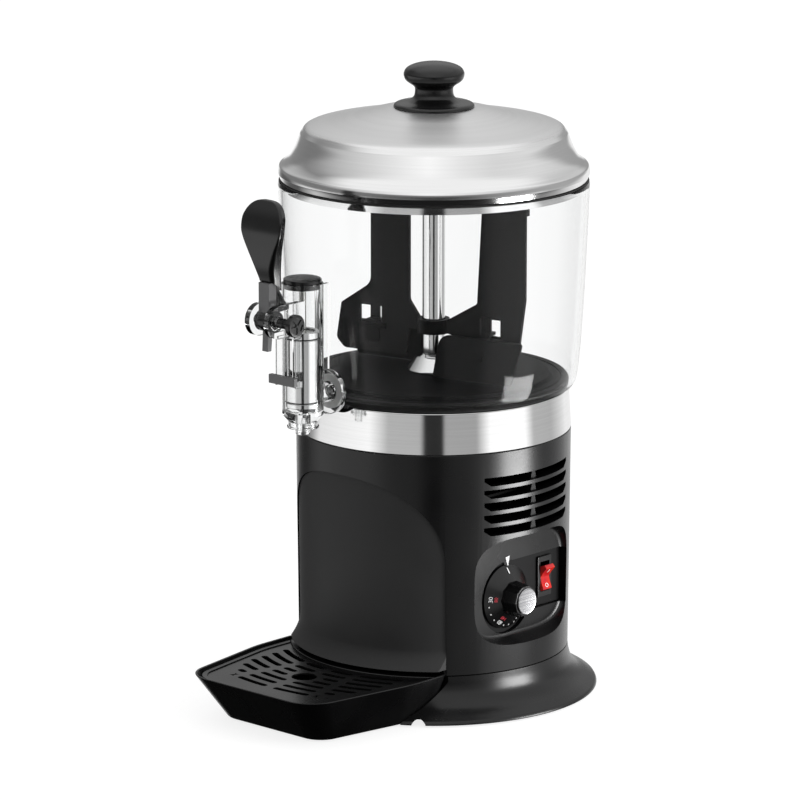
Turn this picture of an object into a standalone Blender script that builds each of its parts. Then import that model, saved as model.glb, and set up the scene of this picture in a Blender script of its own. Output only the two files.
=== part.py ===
"""Hot chocolate dispenser with a five litre bowl, a stirrer, a lever tap and a drip tray.

Every piece is its own object. The front faces -Y, the controls face +X, and the machine stands on z = 0.
Places are measured from the machine's upright axis, which carries the bowl, the stirrer and the housing.
"""

import math

import bmesh
import bpy
from mathutils import Matrix, Vector

# Fits and meshing
SEAT_GAP = 0.0003
RUN_GAP = 0.0005
EASY_GAP = 0.001
CUT_OVER = 0.004
WELD = 0.000001
BIG_SIDES = 32
MID_SIDES = 16
SMALL_SIDES = 12
PIN_SIDES = 8
SMOOTH_ANGLE = math.radians(35)

# Housing radius, which the base, the bowl and the tap follow
HOUSING_R = 0.1075

# Base moulding
BASE_FLARE = 0.0235
BASE_R = HOUSING_R + BASE_FLARE
BASE_TOP_Z = 0.0343
BASE_RIM_Z = 0.0015
BASE_WALL = 0.003
BASE_FLANGE_IN = 0.0035
BASE_FLANGE_R = HOUSING_R - BASE_FLANGE_IN
BASE_FLANGE_Z = 0.0074
BASE_FLANGE_THICK = 0.0025
BASE_FLARE_SHARE = ((0.045, 0.79), (0.16, 0.56), (0.40, 0.36), (0.74, 0.215), (0.96, 0.12))
NOTCH_R = 0.0058
NOTCH_ANGLE = math.radians(37.5)

# Base plate, feet and screws
PLATE_IN = 0.013
PLATE_R = BASE_R - PLATE_IN
PLATE_THICK = 0.002
FOOT_R = 0.009
FOOT_TAPER_SHARE = 0.86
FOOT_IN = 0.019
FOOT_RING_R = PLATE_R - FOOT_IN
FOOT_STEM_R = 0.003
FOOT_ANGLES = tuple(math.radians(a) for a in (70, 135, 225, 290))
BASE_SCREW_IN = 0.0075
BASE_SCREW_RING_R = PLATE_R - BASE_SCREW_IN
BASE_SCREW_ANGLES = tuple(math.radians(a) for a in (58, 150, 210, 302))
SCREW_R = 0.0016
SCREW_HEAD_R = 0.0034
SCREW_HEAD_HIGH = 0.0018

# Housing
HOUSING_TAPER = 0.0015
HOUSING_TOP_R = HOUSING_R + HOUSING_TAPER
HOUSING_TOP_Z = 0.2122
HOUSING_WALL = 0.003
HOUSING_LEDGE = 0.013
HOUSING_LEDGE_R = HOUSING_TOP_R - HOUSING_LEDGE

# Front cover and its window
WINDOW_IN = 0.0275
WINDOW_HALF = HOUSING_R - WINDOW_IN
WINDOW_SPRING_Z = 0.120
WINDOW_RISE = 0.0702
WINDOW_POWER = 2.4
WINDOW_STEPS = 48
COVER_RECESS = 0.0013
COVER_WALL = 0.0025
COVER_CREASE_Z = 0.057
COVER_LIP_Z = 0.040
COVER_LIP_OUT = 0.0074
COVER_SHELF_R = 0.0735
COVER_SHELF_THICK = 0.002

# Vents
VENT_COUNT = 5
VENT_PITCH = 0.010
VENT_HIGH = 0.007
VENT_HALF = 0.048
VENT_TOP_Z = 0.1925
VENT_CHAMFER = 0.0055
VENT_STEP = 0.003
MULLION_WIDE = 0.0045
MULLION_DEEP = 0.006
VENT_DEEP = 0.009
VENT_FRAME = 0.0035

# Control scoop and panel
SCOOP_HALF_Y = 0.057
SCOOP_HALF_Z = 0.044
SCOOP_Z = 0.0983
SCOOP_POWER = 4.0
SCOOP_DEEP = 0.018
SCOOP_FLOOR_X = HOUSING_R - SCOOP_DEEP
SCOOP_WALL = 0.0028
SCOOP_STEPS = 28
SCOOP_LOFT_SHARE = ((0.0, 0.90), (0.06, 0.935), (0.22, 0.96), (1.0, 1.0))
PANEL_SUNK_DEEP = 0.0035
PANEL_SUNK_X = SCOOP_FLOOR_X - PANEL_SUNK_DEEP
PANEL_THICK = 0.0025
PANEL_BACK_X = PANEL_SUNK_X - PANEL_THICK
SUNK_EDGE_Y = 0.0541
SUNK_LOW_Z = 0.0728
SUNK_HIGH_Z = 0.1176

# Dial
DIAL_Y = -0.012
DIAL_Z = 0.089
DIAL_SKIRT_R = 0.0255
DIAL_SUNK_R = 0.0295
DIAL_EDGE = 0.0016
DIAL_CONE_HIGH = 0.0075
DIAL_PROUD = 0.0235
GRIP_R = 0.014
GRIP_TOP_R = 0.0125
GRIP_FLATS = 10
CAP_R = 0.0105
CAP_THICK = 0.0012
SPINDLE_R = 0.003
SPINDLE_IN = 0.014
THERMO_WIDE = 0.034
THERMO_DEEP = 0.018
THERMO_COLLAR_R = 0.0045

# Rocker switch
SWITCH_Y = 0.0344
SWITCH_Z = 0.0965
BEZEL_WIDE = 0.0162
BEZEL_HIGH = 0.033
BEZEL_THICK = 0.002
SWITCH_BODY_WIDE = 0.0132
SWITCH_BODY_HIGH = 0.028
SWITCH_BODY_DEEP = 0.022
ROCKER_WIDE = 0.0102
ROCKER_HALF = 0.0112
ROCKER_NOSE_SHARE = 0.8
ROCKER_KEEL_SHARE = 0.5
ROCKER_NOSE = 0.0072
ROCKER_DIP = 0.0026
ROCKER_DEEP = 0.0045
ROCKER_TURN = math.radians(20)
ROCKER_WELL_DEEP = 0.011

# Steel band, hotplate and column
BAND_IN = 0.002
BAND_TOP_R = HOUSING_TOP_R - BAND_IN
BAND_TOP_Z = 0.2452
BAND_SHEET = 0.0012
BAND_FLANGE_IN = 0.0052
BAND_FLANGE_R = BAND_TOP_R - BAND_FLANGE_IN
BAND_NOTCH_R = 0.020
BAND_NOTCH_Z = 0.260
PLATE_SKIRT_IN = 0.0013
PLATE_SKIRT_R = BAND_FLANGE_R - PLATE_SKIRT_IN
PLATE_SKIRT_WALL = 0.0022
HOT_TOP_Z = 0.2558
HOT_RIM_DROP = 0.0032
HOT_RIM_Z = HOT_TOP_Z - HOT_RIM_DROP
HOT_STEP_IN = 0.008
HOT_STEP_R = PLATE_SKIRT_R - HOT_STEP_IN
HOT_THICK = 0.0032
COLUMN_R = 0.009
COLUMN_BORE_R = 0.0065
COLUMN_TOP_Z = 0.384
COLUMN_FOOT_R = 0.0212
COLUMN_CONE_R = 0.0146
COLUMN_CONE_HIGH = 0.0122
COLUMN_TAIL = 0.014
NUT_R = 0.014
NUT_HIGH = 0.006
ELEMENT_RING_R = 0.064
ELEMENT_R = 0.0032
ELEMENT_LEG = 0.014
ELEMENT_START = math.radians(12)
SHIELD_Z = 0.226
SHIELD_THICK = 0.001
SHIELD_RIM = 0.007
SHIELD_HOLE_R = 0.016
CUTOUT_R = 0.008
CUTOUT_HIGH = 0.007
CUTOUT_RING_R = 0.036
CUTOUT_ANGLE = math.radians(200)

# Drive
SHAFT_R = 0.004
SHAFT_END_Z = 0.176
SHAFT_SQUARE = 0.0056
SHAFT_TIP_Z = 0.399
BUSH_HIGH = 0.012
COUPLING_R = 0.009
COUPLING_TOP_Z = 0.190
COUPLING_LOW_Z = 0.165
BRACKET_Z = 0.158
BRACKET_THICK = 0.003
BRACKET_HALF_X = 0.052
BRACKET_HALF_Y = 0.044
BRACKET_HOLE_R = 0.007
POST_R = 0.0045
POST_X = 0.045
POST_Y = 0.037
GEARBOX_HALF_X = 0.036
GEARBOX_HALF_Y = 0.030
GEARBOX_HIGH = 0.030
MOTOR_R = 0.0285
MOTOR_HIGH = 0.052
MOTOR_BOSS_R = 0.010
MOTOR_BOSS_HIGH = 0.006

# Terminal block and cord inlet
TERMINAL_X = -0.060
TERMINAL_Y = 0.020
TERMINAL_LONG = 0.044
TERMINAL_WIDE = 0.018
TERMINAL_HIGH = 0.016
TERMINAL_WAYS = 4
INLET_Z = 0.054
INLET_R = 0.008
INLET_FLANGE_R = 0.0115
INLET_BORE_R = 0.0038
INLET_LONG = 0.018
INLET_PROUD = 0.010

# Drip tray and grid
TRAY_HALF = 0.084
TRAY_REAR = 0.072
TRAY_FRONT = 0.2138
TRAY_TOP_Z = 0.038
TRAY_LOW_Z = 0.001
TRAY_WALL = 0.002
TRAY_FLOOR = 0.0025
TRAY_LEDGE = 0.0035
TRAY_FOOT_HALF = 0.0665
TRAY_FOOT_FRONT = 0.1895
TRAY_CORNER_R = 0.026
TRAY_REAR_R = 0.009
TRAY_BEND_R = 0.100
TRAY_FRONT_SHARE = 0.80
TRAY_BEND_SHARE = 0.32
TRAY_REAR_FOOT_SHARE = 0.6
TRAY_BEND_FOOT_SHARE = 0.5
TRAY_CORNER_FOOT_SHARE = 0.7
TRAY_CORNER_SHARE = 0.1
DOCK_WALL = 0.0025
DOCK_TOP_Z = 0.0395
GRID_TOP_Z = 0.036
GRID_THICK = 0.0022
GRID_ROWS = 7
GRID_FIRST_R = 0.187
GRID_PITCH = 0.0108
GRID_SLOT = 0.0052
GRID_HOLE_R = 0.010
GRID_BRIDGE = 0.0025
GRID_RIM = 0.012
GRID_REAR_SHARE = 0.66
GRID_SPREAD_SHARE = 0.25
GRID_SPREAD_RATE_SHARE = 2.4
GRID_LIFT_GAP = 0.001
DECK_THICK = 0.002
GRID_OUTER_AT = math.radians(14)
GRID_INNER_TO = math.radians(11.6)

# Bowl
BOWL_TOP_Z = 0.4094
BOWL_FOOT_OUT = 0.0031
BOWL_FOOT_R = HOUSING_TOP_R + BOWL_FOOT_OUT
BOWL_FLARE = 0.0105
BOWL_TOP_R = BOWL_FOOT_R + BOWL_FLARE
BOWL_FOOT_Z = 0.2498
BOWL_LOW_Z = 0.2475
BOWL_WALL = 0.003
BOWL_SWELL_SHARE = 0.55
BOWL_STEP_SHARES = (0.06, 0.25, 0.6, 1.0)
BOWL_MOUTH_IN = 0.0071
BOWL_MOUTH_R = BOWL_FOOT_R - BOWL_MOUTH_IN
LUG_X = 0.0085
LUG_WIDE = 0.007
LUG_DROP = 0.0045
LUG_THICK = 0.0024
GASKET_THICK = 0.0018

# Tap
TAP_OUT = 0.0369
TAP_Y = -(BOWL_FOOT_R + TAP_OUT)
BARREL_R = 0.0162
BARREL_BORE_R = 0.014
BARREL_TOP_Z = 0.3496
BARREL_LOW_Z = 0.2464
BARREL_NECK_Z = 0.241
BARREL_FLOOR_Z = 0.2495
NECK_R = 0.0116
NECK_WALL = 0.002
NECK_LOW_Z = 0.2355
NECK_LIP = 0.0008
TIP_R = 0.0058
TIP_LOW_Z = 0.2303
OUTLET_R = 0.0042
SPIGOT_Z = 0.259
SPIGOT_R = 0.0078
SPIGOT_BORE_R = 0.005
FLANGE_R = 0.0175
FLANGE_OUT = 0.0119
FLANGE_Y = -(BOWL_FOOT_R + FLANGE_OUT)
FLANGE_THICK = 0.0055
GASKET_R = 0.0135
FIN_HALF = 0.0015
FIN_OUT = 0.0089
FIN_Y = -(BOWL_FOOT_R + FIN_OUT)
FIN_LOW_Z = 0.274
FIN_TOP_Z = 0.345
GUIDE_X = 0.011
GUIDE_WALL = 0.0016
GUIDE_OUT = 0.019
GUIDE_Y = TAP_Y - GUIDE_OUT
GUIDE_LOW_Z = 0.2705
GUIDE_TOP_Z = 0.309
GUIDE_SLOT_HALF = 0.004
EAR_R = 0.0127
EAR_INSIDE_SHARE = 0.998
EAR_X = 0.0075
EAR_THICK = 0.005
PIN_OUT = 0.038
PIN_Y = TAP_Y - PIN_OUT
PIN_Z = 0.3255
PIN_R = 0.004
PIN_TAIL = 0.0015
PIN_HEAD_X = 0.026
PIN_HEAD_R = 0.0088
PIN_HEAD_THICK = 0.005
CROWN_R = 0.0148
CROWN_HIGH = 0.0039
CROWN_PLUG = 0.0046
GUIDE_ROD_R = 0.0028
COLLAR_R = 0.0082
COLLAR_THICK = 0.002
COLLAR_Z = 0.3087

# Tap piston
PISTON_R = 0.0133
PISTON_LOW_Z = 0.252
PISTON_TOP_Z = 0.312
PISTON_BORE_R = 0.0098
PISTON_FLOOR_Z = 0.264
SEAL_R = 0.00075
SEAL_GROOVE_SHARE = 1.3
SEAL_LOW_Z = 0.2565
SEAL_TOP_Z = 0.3065
HORN_HALF = 0.0075
HORN_THICK = 0.0032
HORN_TOP_Z = 0.3245
BAR_HALF = 0.0137
BAR_OUT = 0.02
BAR_Y = TAP_Y - BAR_OUT
BAR_DEEP = 0.004
BAR_LOW_Z = 0.2725
BAR_HIGH = 0.007
BAR_WEB_HALF = 0.003
SPRING_R = 0.0068
SPRING_WIRE_R = 0.0005
SPRING_TURNS = 7
SPRING_POINTS = 8

# Tap lever
LEVER_SWING = math.radians(34)
LEVER_ARM = 0.026
LEVER_ARM_HALF = 0.0035
LEVER_ARM_THICK = 0.0042
LEVER_TIP_R = 0.0026
LEVER_HUB_R = 0.0078
LEVER_HUB_HALF = 0.007
STEM_HALF = 0.0055
STEM_FRONT_OUT = 0.0045
STEM_FRONT_Y = PIN_Y - STEM_FRONT_OUT
STEM_BACK_IN = 0.0035
STEM_BACK_Y = PIN_Y + STEM_BACK_IN
STEM_TOP_Z = 0.3555
STEM_WALL = 0.002
TAIL_HALF = 0.003
TAIL_LOW_Z = 0.302
TAIL_THICK = 0.005
TAIL_TIP_SHARE = 0.6
HANDLE_LOW_Z = 0.356
HANDLE_TOP_Z = 0.419
HANDLE_HALF = 0.0218
HANDLE_THICK = 0.009
HANDLE_FACE_OUT = 0.0077
HANDLE_FACE_Y = PIN_Y - HANDLE_FACE_OUT
HANDLE_LEAN = 0.0127
HANDLE_SIDES = 16
HANDLE_SHARE = (
    (0.0, 0.30, 0.72, 0.30), (0.05, 0.36, 0.80, 0.24), (0.14, 0.52, 0.88, 0.17), (0.28, 0.69, 0.97, 0.07),
    (0.46, 0.90, 1.0, 0.01), (0.62, 1.0, 1.0, 0.0), (0.76, 0.98, 1.0, 0.10), (0.88, 0.82, 0.93, 0.37),
    (0.96, 0.52, 0.72, 0.72), (1.0, 0.22, 0.34, 1.0),
)

# Lid
LID_LOW_Z = 0.411
LID_SHEET = 0.001
LID_SHOULDER_IN = 0.0206
LID_SHOULDER_R = BOWL_TOP_R - LID_SHOULDER_IN
LID_SHOULDER_Z = 0.4497
LID_CONE_OUT = 0.0035
LID_CONE_R = LID_SHOULDER_R + LID_CONE_OUT
LID_CONE_Z = 0.4453
LID_TOP_Z = 0.4668
LID_KNOB_SEAT_R = 0.033
LID_HOLE_R = 0.0032
LID_DOME_SHARE = ((0.0, 1.0), (0.39, 0.655), (0.68, 0.397), (0.90, 0.216))
LID_INNER_SKIPS = (1, 2, 4)
LID_CONE_SHARE = ((0.0, 1.0), (0.27, 0.67), (0.58, 0.36), (0.90, 0.13))
RING_IN = 0.0048
RING_R = BOWL_TOP_R - RING_IN
RING_LOW_Z = 0.4035
RING_SHEET = 0.001
LID_SEAL_HIGH = 0.001
KNOB_SKIRT_R = 0.0317
KNOB_R = 0.0238
KNOB_NECK_R = 0.015
KNOB_HIGH = 0.0355
KNOB_SHARE = (
    (0.0, 1.0), (0.06, 1.0), (0.13, 0.67), (0.22, 0.50), (0.42, 0.473), (0.56, 0.655), (0.70, 0.75),
    (0.86, 0.68), (0.95, 0.46), (1.0, 0.14),
)

# Stirrer
STIR_ANGLE = math.radians(12.5)
STIR_THICK = 0.003
STIR_FLARE_SHARE = 1.4
STIR_DROP_SHARE = 2.0
STIR_CORNER_SHARE = 1.8
STIR_TOP_Z = 0.398
STIR_BAR_HIGH = 0.010
STIR_HUB_R = 0.012
STIR_HUB_HIGH = 0.016
STIR_RING_R = 0.0127
STIR_RING_LOW_Z = 0.2867
STIR_RING_TOP_Z = 0.298
STIR_RING_BORE_R = 0.0098
STIR_LOW_Z = 0.2655
STIR_RIGHT = 0.0827
STIR_LEFT = 0.089
RIGHT_IN_SHARE = (0.536, 0.484, 0.136)
LEFT_OUT_SHARE = (0.640, 0.948, 1.0, 0.918)
STIR_WINDOW_LOW_Z = 0.287
STIR_WINDOW_TOP_Z = 0.3025
RIGHT_WINDOW = (0.0425, 0.061)
LEFT_WINDOW = (-0.067, -0.047)

# Scraper blades
BLADE_IN = 0.012
BLADE_END_IN = 0.007
BLADE_OUT = HOT_STEP_R - BLADE_END_IN
BLADE_THICK = 0.0025
BLADE_CLEAR = 0.0006
BLADE_LOW_Z = HOT_TOP_Z + BLADE_CLEAR
BLADE_TOP_Z = 0.288
BLADE_LOW_OFF = 0.0205
BLADE_TOP_OFF = 0.0085
TONGUE_WIDE = 0.008
TONGUE_THICK = 0.0026
TONGUE_TOP_Z = 0.3045
TONGUE_AT = 0.0497
CLIP_AT = -0.0552

MACHINE_Y = (TRAY_FRONT - BASE_R) / 2


def clear_scene():
    for obj in list(bpy.data.objects):
        bpy.data.objects.remove(obj, do_unlink=True)


def finish(name, colour, roughness, metallic=0.0, alpha=1.0):
    """A plain material from the photographed colour."""
    material = bpy.data.materials.new(name)
    material.use_nodes = True
    shader = material.node_tree.nodes["Principled BSDF"]
    shader.inputs["Base Color"].default_value = (*colour, 1.0)
    shader.inputs["Roughness"].default_value = roughness
    shader.inputs["Metallic"].default_value = metallic
    shader.inputs["Alpha"].default_value = alpha
    material.diffuse_color = (*colour, alpha)
    return material


def pivot(name, place, carrier=None):
    """An empty on an axis. Places are measured from the machine's axis."""
    empty = bpy.data.objects.new(name, None)
    bpy.context.collection.objects.link(empty)
    empty["place"] = place
    if carrier is None:
        empty.location = (0, MACHINE_Y, 0)
    else:
        empty.parent = carrier
        empty.location = Vector(place) - Vector(carrier["place"])
    return empty


def to_object(bm, name, carrier):
    bmesh.ops.translate(bm, verts=bm.verts, vec=-Vector(carrier["place"]))
    mesh = bpy.data.meshes.new(name)
    bm.to_mesh(mesh)
    bm.free()
    mesh.shade_smooth()
    mesh.set_sharp_from_angle(angle=SMOOTH_ANGLE)
    obj = bpy.data.objects.new(name, mesh)
    bpy.context.collection.objects.link(obj)
    obj.parent = carrier
    return obj


def piece(bm, name, material, carrier):
    """A finished piece of the machine, carried by a body's empty."""
    obj = to_object(bm, name, carrier)
    obj.data.materials.append(material)
    return obj


def tool(bm, name, carrier):
    """A shape that only cuts or joins, hidden from renders."""
    obj = to_object(bm, name, carrier)
    obj.hide_render = True
    obj.display_type = "WIRE"
    return obj


def apply_tool(obj, shape, operation="DIFFERENCE"):
    modifier = obj.modifiers.new(shape.name, "BOOLEAN")
    modifier.operation = operation
    modifier.solver = "EXACT"
    modifier.object = shape


def combine(*meshes):
    """One mesh that holds several separate closed shapes."""
    whole = bmesh.new()
    for bm in meshes:
        data = bpy.data.meshes.new("part")
        bm.to_mesh(data)
        bm.free()
        whole.from_mesh(data)
        bpy.data.meshes.remove(data)
    return whole


def lay(bm, axis):
    """Turns a shape that stands on Z so that its axis is X or Y."""
    if axis == "X":
        bm.transform(Matrix(((0, 0, 1), (1, 0, 0), (0, 1, 0))).to_4x4())
    if axis == "Y":
        bm.transform(Matrix(((0, 1, 0), (0, 0, 1), (1, 0, 0))).to_4x4())


def turned(profile, sides, centre=(0, 0, 0), axis="Z", half_step=False):
    """A closed turned body. The profile is (radius, height), closed on itself or ending on the axis."""
    bm = bmesh.new()
    verts = [bm.verts.new((r, 0, z)) for r, z in profile]
    edges = [bm.edges.new(pair) for pair in zip(verts, verts[1:])]
    if profile[0][0] > 0 or profile[-1][0] > 0:
        edges.append(bm.edges.new((verts[-1], verts[0])))
    bmesh.ops.spin(
        bm, geom=verts + edges, cent=(0, 0, 0), axis=(0, 0, 1), angle=math.tau, steps=sides, use_merge=True)
    bmesh.ops.remove_doubles(bm, verts=bm.verts, dist=WELD)
    if half_step:
        bm.transform(Matrix.Rotation(math.pi / sides, 4, "Z"))
    lay(bm, axis)
    bmesh.ops.translate(bm, verts=bm.verts, vec=centre)
    bmesh.ops.recalc_face_normals(bm, faces=bm.faces)
    return bm


def rod(radius, low, high, sides, centre=(0, 0, 0), axis="Z", top_radius=None):
    top = radius if top_radius is None else top_radius
    return turned([(0, low), (radius, low), (top, high), (0, high)], sides, centre, axis)


def tube(radius, bore, low, high, sides, centre=(0, 0, 0), axis="Z"):
    return turned([(bore, low), (radius, low), (radius, high), (bore, high)], sides, centre, axis)


def spot(axis, a, b, along):
    """A point from its two plane values and its place along the axis."""
    if axis == "X":
        return (along, a, b)
    if axis == "Y":
        return (a, along, b)
    return (a, b, along)


def skin(rings):
    """A closed body through rings of points, all with as many points."""
    bm = bmesh.new()
    loops = [[bm.verts.new(p) for p in ring] for ring in rings]
    count = len(loops[0])
    for low, high in zip(loops, loops[1:]):
        for i in range(count):
            j = (i + 1) % count
            bm.faces.new((low[i], low[j], high[j], high[i]))
    bm.faces.new(loops[0])
    bm.faces.new(loops[-1])
    bmesh.ops.recalc_face_normals(bm, faces=bm.faces)
    return bm


def prism(outline, low, high, axis="Z"):
    return skin([[spot(axis, a, b, along) for a, b in outline] for along in (low, high)])


def block(x, y, z):
    """A box from its three spans."""
    return prism([(x[0], y[0]), (x[1], y[0]), (x[1], y[1]), (x[0], y[1])], z[0], z[1])


def rounded(corners, steps):
    """A closed outline with an arc at each corner. A corner is (a, b, radius)."""
    points = []
    for i, (a, b, radius) in enumerate(corners):
        here = Vector((a, b))
        if radius == 0:
            points.append((a, b))
            continue
        back = (Vector(corners[i - 1][:2]) - here).normalized()
        ahead = (Vector(corners[(i + 1) % len(corners)][:2]) - here).normalized()
        half = math.acos(max(-1, min(1, back.dot(ahead)))) / 2
        centre = here + (back + ahead).normalized() * (radius / math.sin(half))
        start = here + back * (radius / math.tan(half)) - centre
        stop = here + ahead * (radius / math.tan(half)) - centre
        sweep = math.atan2(start.x * stop.y - start.y * stop.x, start.dot(stop))
        for k in range(steps + 1):
            turn = sweep * k / steps
            across = Vector((-start.y, start.x))
            point = centre + start * math.cos(turn) + across * math.sin(turn)
            points.append((point.x, point.y))
    return points


def rounded_box(half_a, half_b, radius, steps=3, centre=(0, 0)):
    a, b = centre
    corners = [(a - half_a, b - half_b), (a + half_a, b - half_b), (a + half_a, b + half_b), (a - half_a, b + half_b)]
    return rounded([(*c, radius) for c in corners], steps)


def oval(half_a, half_b, power, count, centre=(0, 0)):
    """A superellipse outline."""
    points = []
    for i in range(count):
        turn = math.tau * i / count
        c, s = math.cos(turn), math.sin(turn)
        a = half_a * math.copysign(abs(c) ** (2 / power), c)
        b = half_b * math.copysign(abs(s) ** (2 / power), s)
        points.append((centre[0] + a, centre[1] + b))
    return points


def offset(points, distance):
    """Moves an open line of points to its left by the distance, with mitred corners."""
    moved = []
    last = len(points) - 1
    for i, point in enumerate(points):
        here = Vector(point)
        into = (here - Vector(points[max(i - 1, 0)])).normalized()
        out = (Vector(points[min(i + 1, last)]) - here).normalized()
        into = into if i > 0 else out
        out = out if i < last else into
        side = Vector((-into.y, into.x)) + Vector((-out.y, out.x))
        side = side.normalized()
        reach = distance / max(0.5, side.dot(Vector((-out.y, out.x))))
        moved.append(tuple(here + side * reach))
    return moved


def offset_ring(points, distance):
    """Moves a closed outline to its left by the distance."""
    moved = offset([points[-1], *points, points[0]], distance)
    return moved[1:-1]


def radius_at(line, z):
    """The radius of a profile line at a height, the heights falling along it."""
    for (r0, z0), (r1, z1) in zip(line, line[1:]):
        if z1 <= z <= z0:
            return r0 + (r1 - r0) * (z0 - z) / (z0 - z1)
    return line[-1][0]


def around(ring_r, angle):
    """A place on a ring, the angle counted from the front towards the controls."""
    return (ring_r * math.sin(angle), -ring_r * math.cos(angle), 0)


def wire(points, radius, name, material, carrier, resolution=1):
    """A tube along a line of points, as a bevelled curve with closed ends."""
    curve = bpy.data.curves.new(name, "CURVE")
    curve.dimensions = "3D"
    curve.bevel_depth = radius
    curve.bevel_resolution = resolution
    curve.use_fill_caps = True
    curve.materials.append(material)
    spline = curve.splines.new("POLY")
    spline.points.add(len(points) - 1)
    home = Vector(carrier["place"])
    for slot, point in zip(spline.points, points):
        slot.co = (*(Vector(point) - home), 1.0)
    obj = bpy.data.objects.new(name, curve)
    bpy.context.collection.objects.link(obj)
    obj.parent = carrier
    return obj


clear_scene()
machine = pivot("machine_axis", (0, 0, 0))
bowl_lift = pivot("bowl_lift", (0, 0, 0), machine)
lid_lift = pivot("lid_lift", (0, 0, 0), bowl_lift)
tray_slide = pivot("tray_slide", (0, 0, 0), machine)
grid_lift = pivot("grid_lift", (0, 0, 0), tray_slide)
shaft_axis = pivot("shaft_axis", (0, 0, 0), machine)
stirrer_lift = pivot("stirrer_lift", (0, 0, 0), shaft_axis)
lever_axis = pivot("lever_axis", (0, PIN_Y, PIN_Z), bowl_lift)
piston_slide = pivot("piston_slide", (0, TAP_Y, PISTON_LOW_Z), bowl_lift)
dial_axis = pivot("dial_axis", (PANEL_SUNK_X, DIAL_Y, DIAL_Z), machine)
rocker_axis = pivot("rocker_axis", (PANEL_SUNK_X, SWITCH_Y, SWITCH_Z), machine)

BLACK = finish("black_moulding", (0.018, 0.018, 0.019), 0.42)
TRIM_BLACK = finish("black_gloss_trim", (0.012, 0.012, 0.013), 0.25)
RUBBER = finish("black_rubber", (0.012, 0.012, 0.012), 0.75)
STEEL = finish("polished_steel", (0.78, 0.78, 0.78), 0.12, 1.0)
PLATED = finish("plated_steel", (0.62, 0.62, 0.60), 0.35, 1.0)
CLEAR = finish("clear_plastic", (0.93, 0.95, 0.95), 0.04, 0.0, 0.25)
COATED = finish("coated_plate", (0.025, 0.025, 0.026), 0.45)
RED = finish("red_rocker", (0.75, 0.04, 0.03), 0.2)
SILVER = finish("silver_cap", (0.80, 0.80, 0.82), 0.25, 1.0)
GREY = finish("grey_plastic", (0.16, 0.16, 0.165), 0.45)
BRASS = finish("brass", (0.72, 0.53, 0.25), 0.3, 1.0)
CERAMIC = finish("cream_insulator", (0.75, 0.70, 0.60), 0.6)


def base_line():
    """The base moulding's outer line, from its seam down to its rim."""
    flare = BASE_R - HOUSING_R
    line = [(HOUSING_R, BASE_TOP_Z)]
    line += [(HOUSING_R + flare * out, BASE_TOP_Z * high) for out, high in BASE_FLARE_SHARE]
    return line + [(BASE_R, BASE_RIM_Z)]


def dock_outline(side_gap, low_z, high_z):
    """The drip tray's tapered cross-section, opened by a gap, between two heights."""
    slope = (TRAY_HALF - TRAY_FOOT_HALF) / (TRAY_TOP_Z - TRAY_LOW_Z)
    low_half = TRAY_FOOT_HALF + side_gap + slope * (low_z - TRAY_LOW_Z)
    top_half = TRAY_HALF + side_gap
    return [
        (-low_half, low_z), (low_half, low_z), (top_half, TRAY_TOP_Z), (top_half, high_z),
        (-top_half, high_z), (-top_half, TRAY_TOP_Z),
    ]


def dock_space(name, side_gap, rear_gap, low_z, high_z):
    front = -(BASE_R + CUT_OVER)
    return tool(prism(dock_outline(side_gap, low_z, high_z), front, -TRAY_REAR + rear_gap, "Y"), name, machine)


def flange_screw_holes(name, low, high):
    holes = []
    for angle in BASE_SCREW_ANGLES:
        centre = around(BASE_SCREW_RING_R, angle)
        holes.append(rod(SCREW_R + SEAT_GAP, low, high, PIN_SIDES, centre))
    return tool(combine(*holes), name, machine)


def make_base_ring():
    outer = base_line()
    inner = offset(outer, -BASE_WALL)
    flange_top = BASE_FLANGE_Z + BASE_FLANGE_THICK
    above = [inner[0], inner[2]]
    below = [p for p in inner if p[1] < BASE_FLANGE_Z]
    profile = outer + list(reversed(below))
    profile += [(radius_at(inner, BASE_FLANGE_Z), BASE_FLANGE_Z), (BASE_FLANGE_R, BASE_FLANGE_Z)]
    profile += [(BASE_FLANGE_R, flange_top), (radius_at(inner, flange_top), flange_top)]
    profile += list(reversed(above))
    ring = piece(turned(profile, BIG_SIDES), "base_ring", BLACK, machine)
    core = [(0, BASE_RIM_Z), (BASE_R - SEAT_GAP, BASE_RIM_Z)]
    core += [(r - SEAT_GAP, z) for r, z in reversed(outer[1:-1])]
    inside_r = HOUSING_R - HOUSING_WALL - SEAT_GAP
    core += [(inside_r, BASE_TOP_Z), (inside_r, DOCK_TOP_Z), (0, DOCK_TOP_Z)]
    pocket = dock_space("dock_pocket", EASY_GAP, EASY_GAP, BASE_RIM_Z - CUT_OVER, DOCK_TOP_Z + CUT_OVER)
    wall_low = BASE_RIM_Z + SEAT_GAP
    walls = dock_space("dock_walls", EASY_GAP + DOCK_WALL, EASY_GAP + DOCK_WALL, wall_low, DOCK_TOP_Z)
    apply_tool(walls, tool(turned(core, BIG_SIDES), "flare_core", machine), "INTERSECT")
    apply_tool(walls, pocket)
    apply_tool(ring, flange_screw_holes("flange_holes", BASE_FLANGE_Z - CUT_OVER, flange_top + CUT_OVER))
    apply_tool(ring, pocket)
    notches = []
    for side in (-1, 1):
        notch = rod(NOTCH_R, BASE_R - BASE_WALL - CUT_OVER, BASE_R + CUT_OVER, SMALL_SIDES, axis="Y")
        notch.transform(Matrix.Rotation(math.pi + side * NOTCH_ANGLE, 4, "Z"))
        notches.append(notch)
    apply_tool(ring, tool(combine(*notches), "finger_notches", machine))
    apply_tool(ring, walls, "UNION")


PLATE_TOP_Z = BASE_FLANGE_Z - SEAT_GAP
PLATE_LOW_Z = PLATE_TOP_Z - PLATE_THICK


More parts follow.
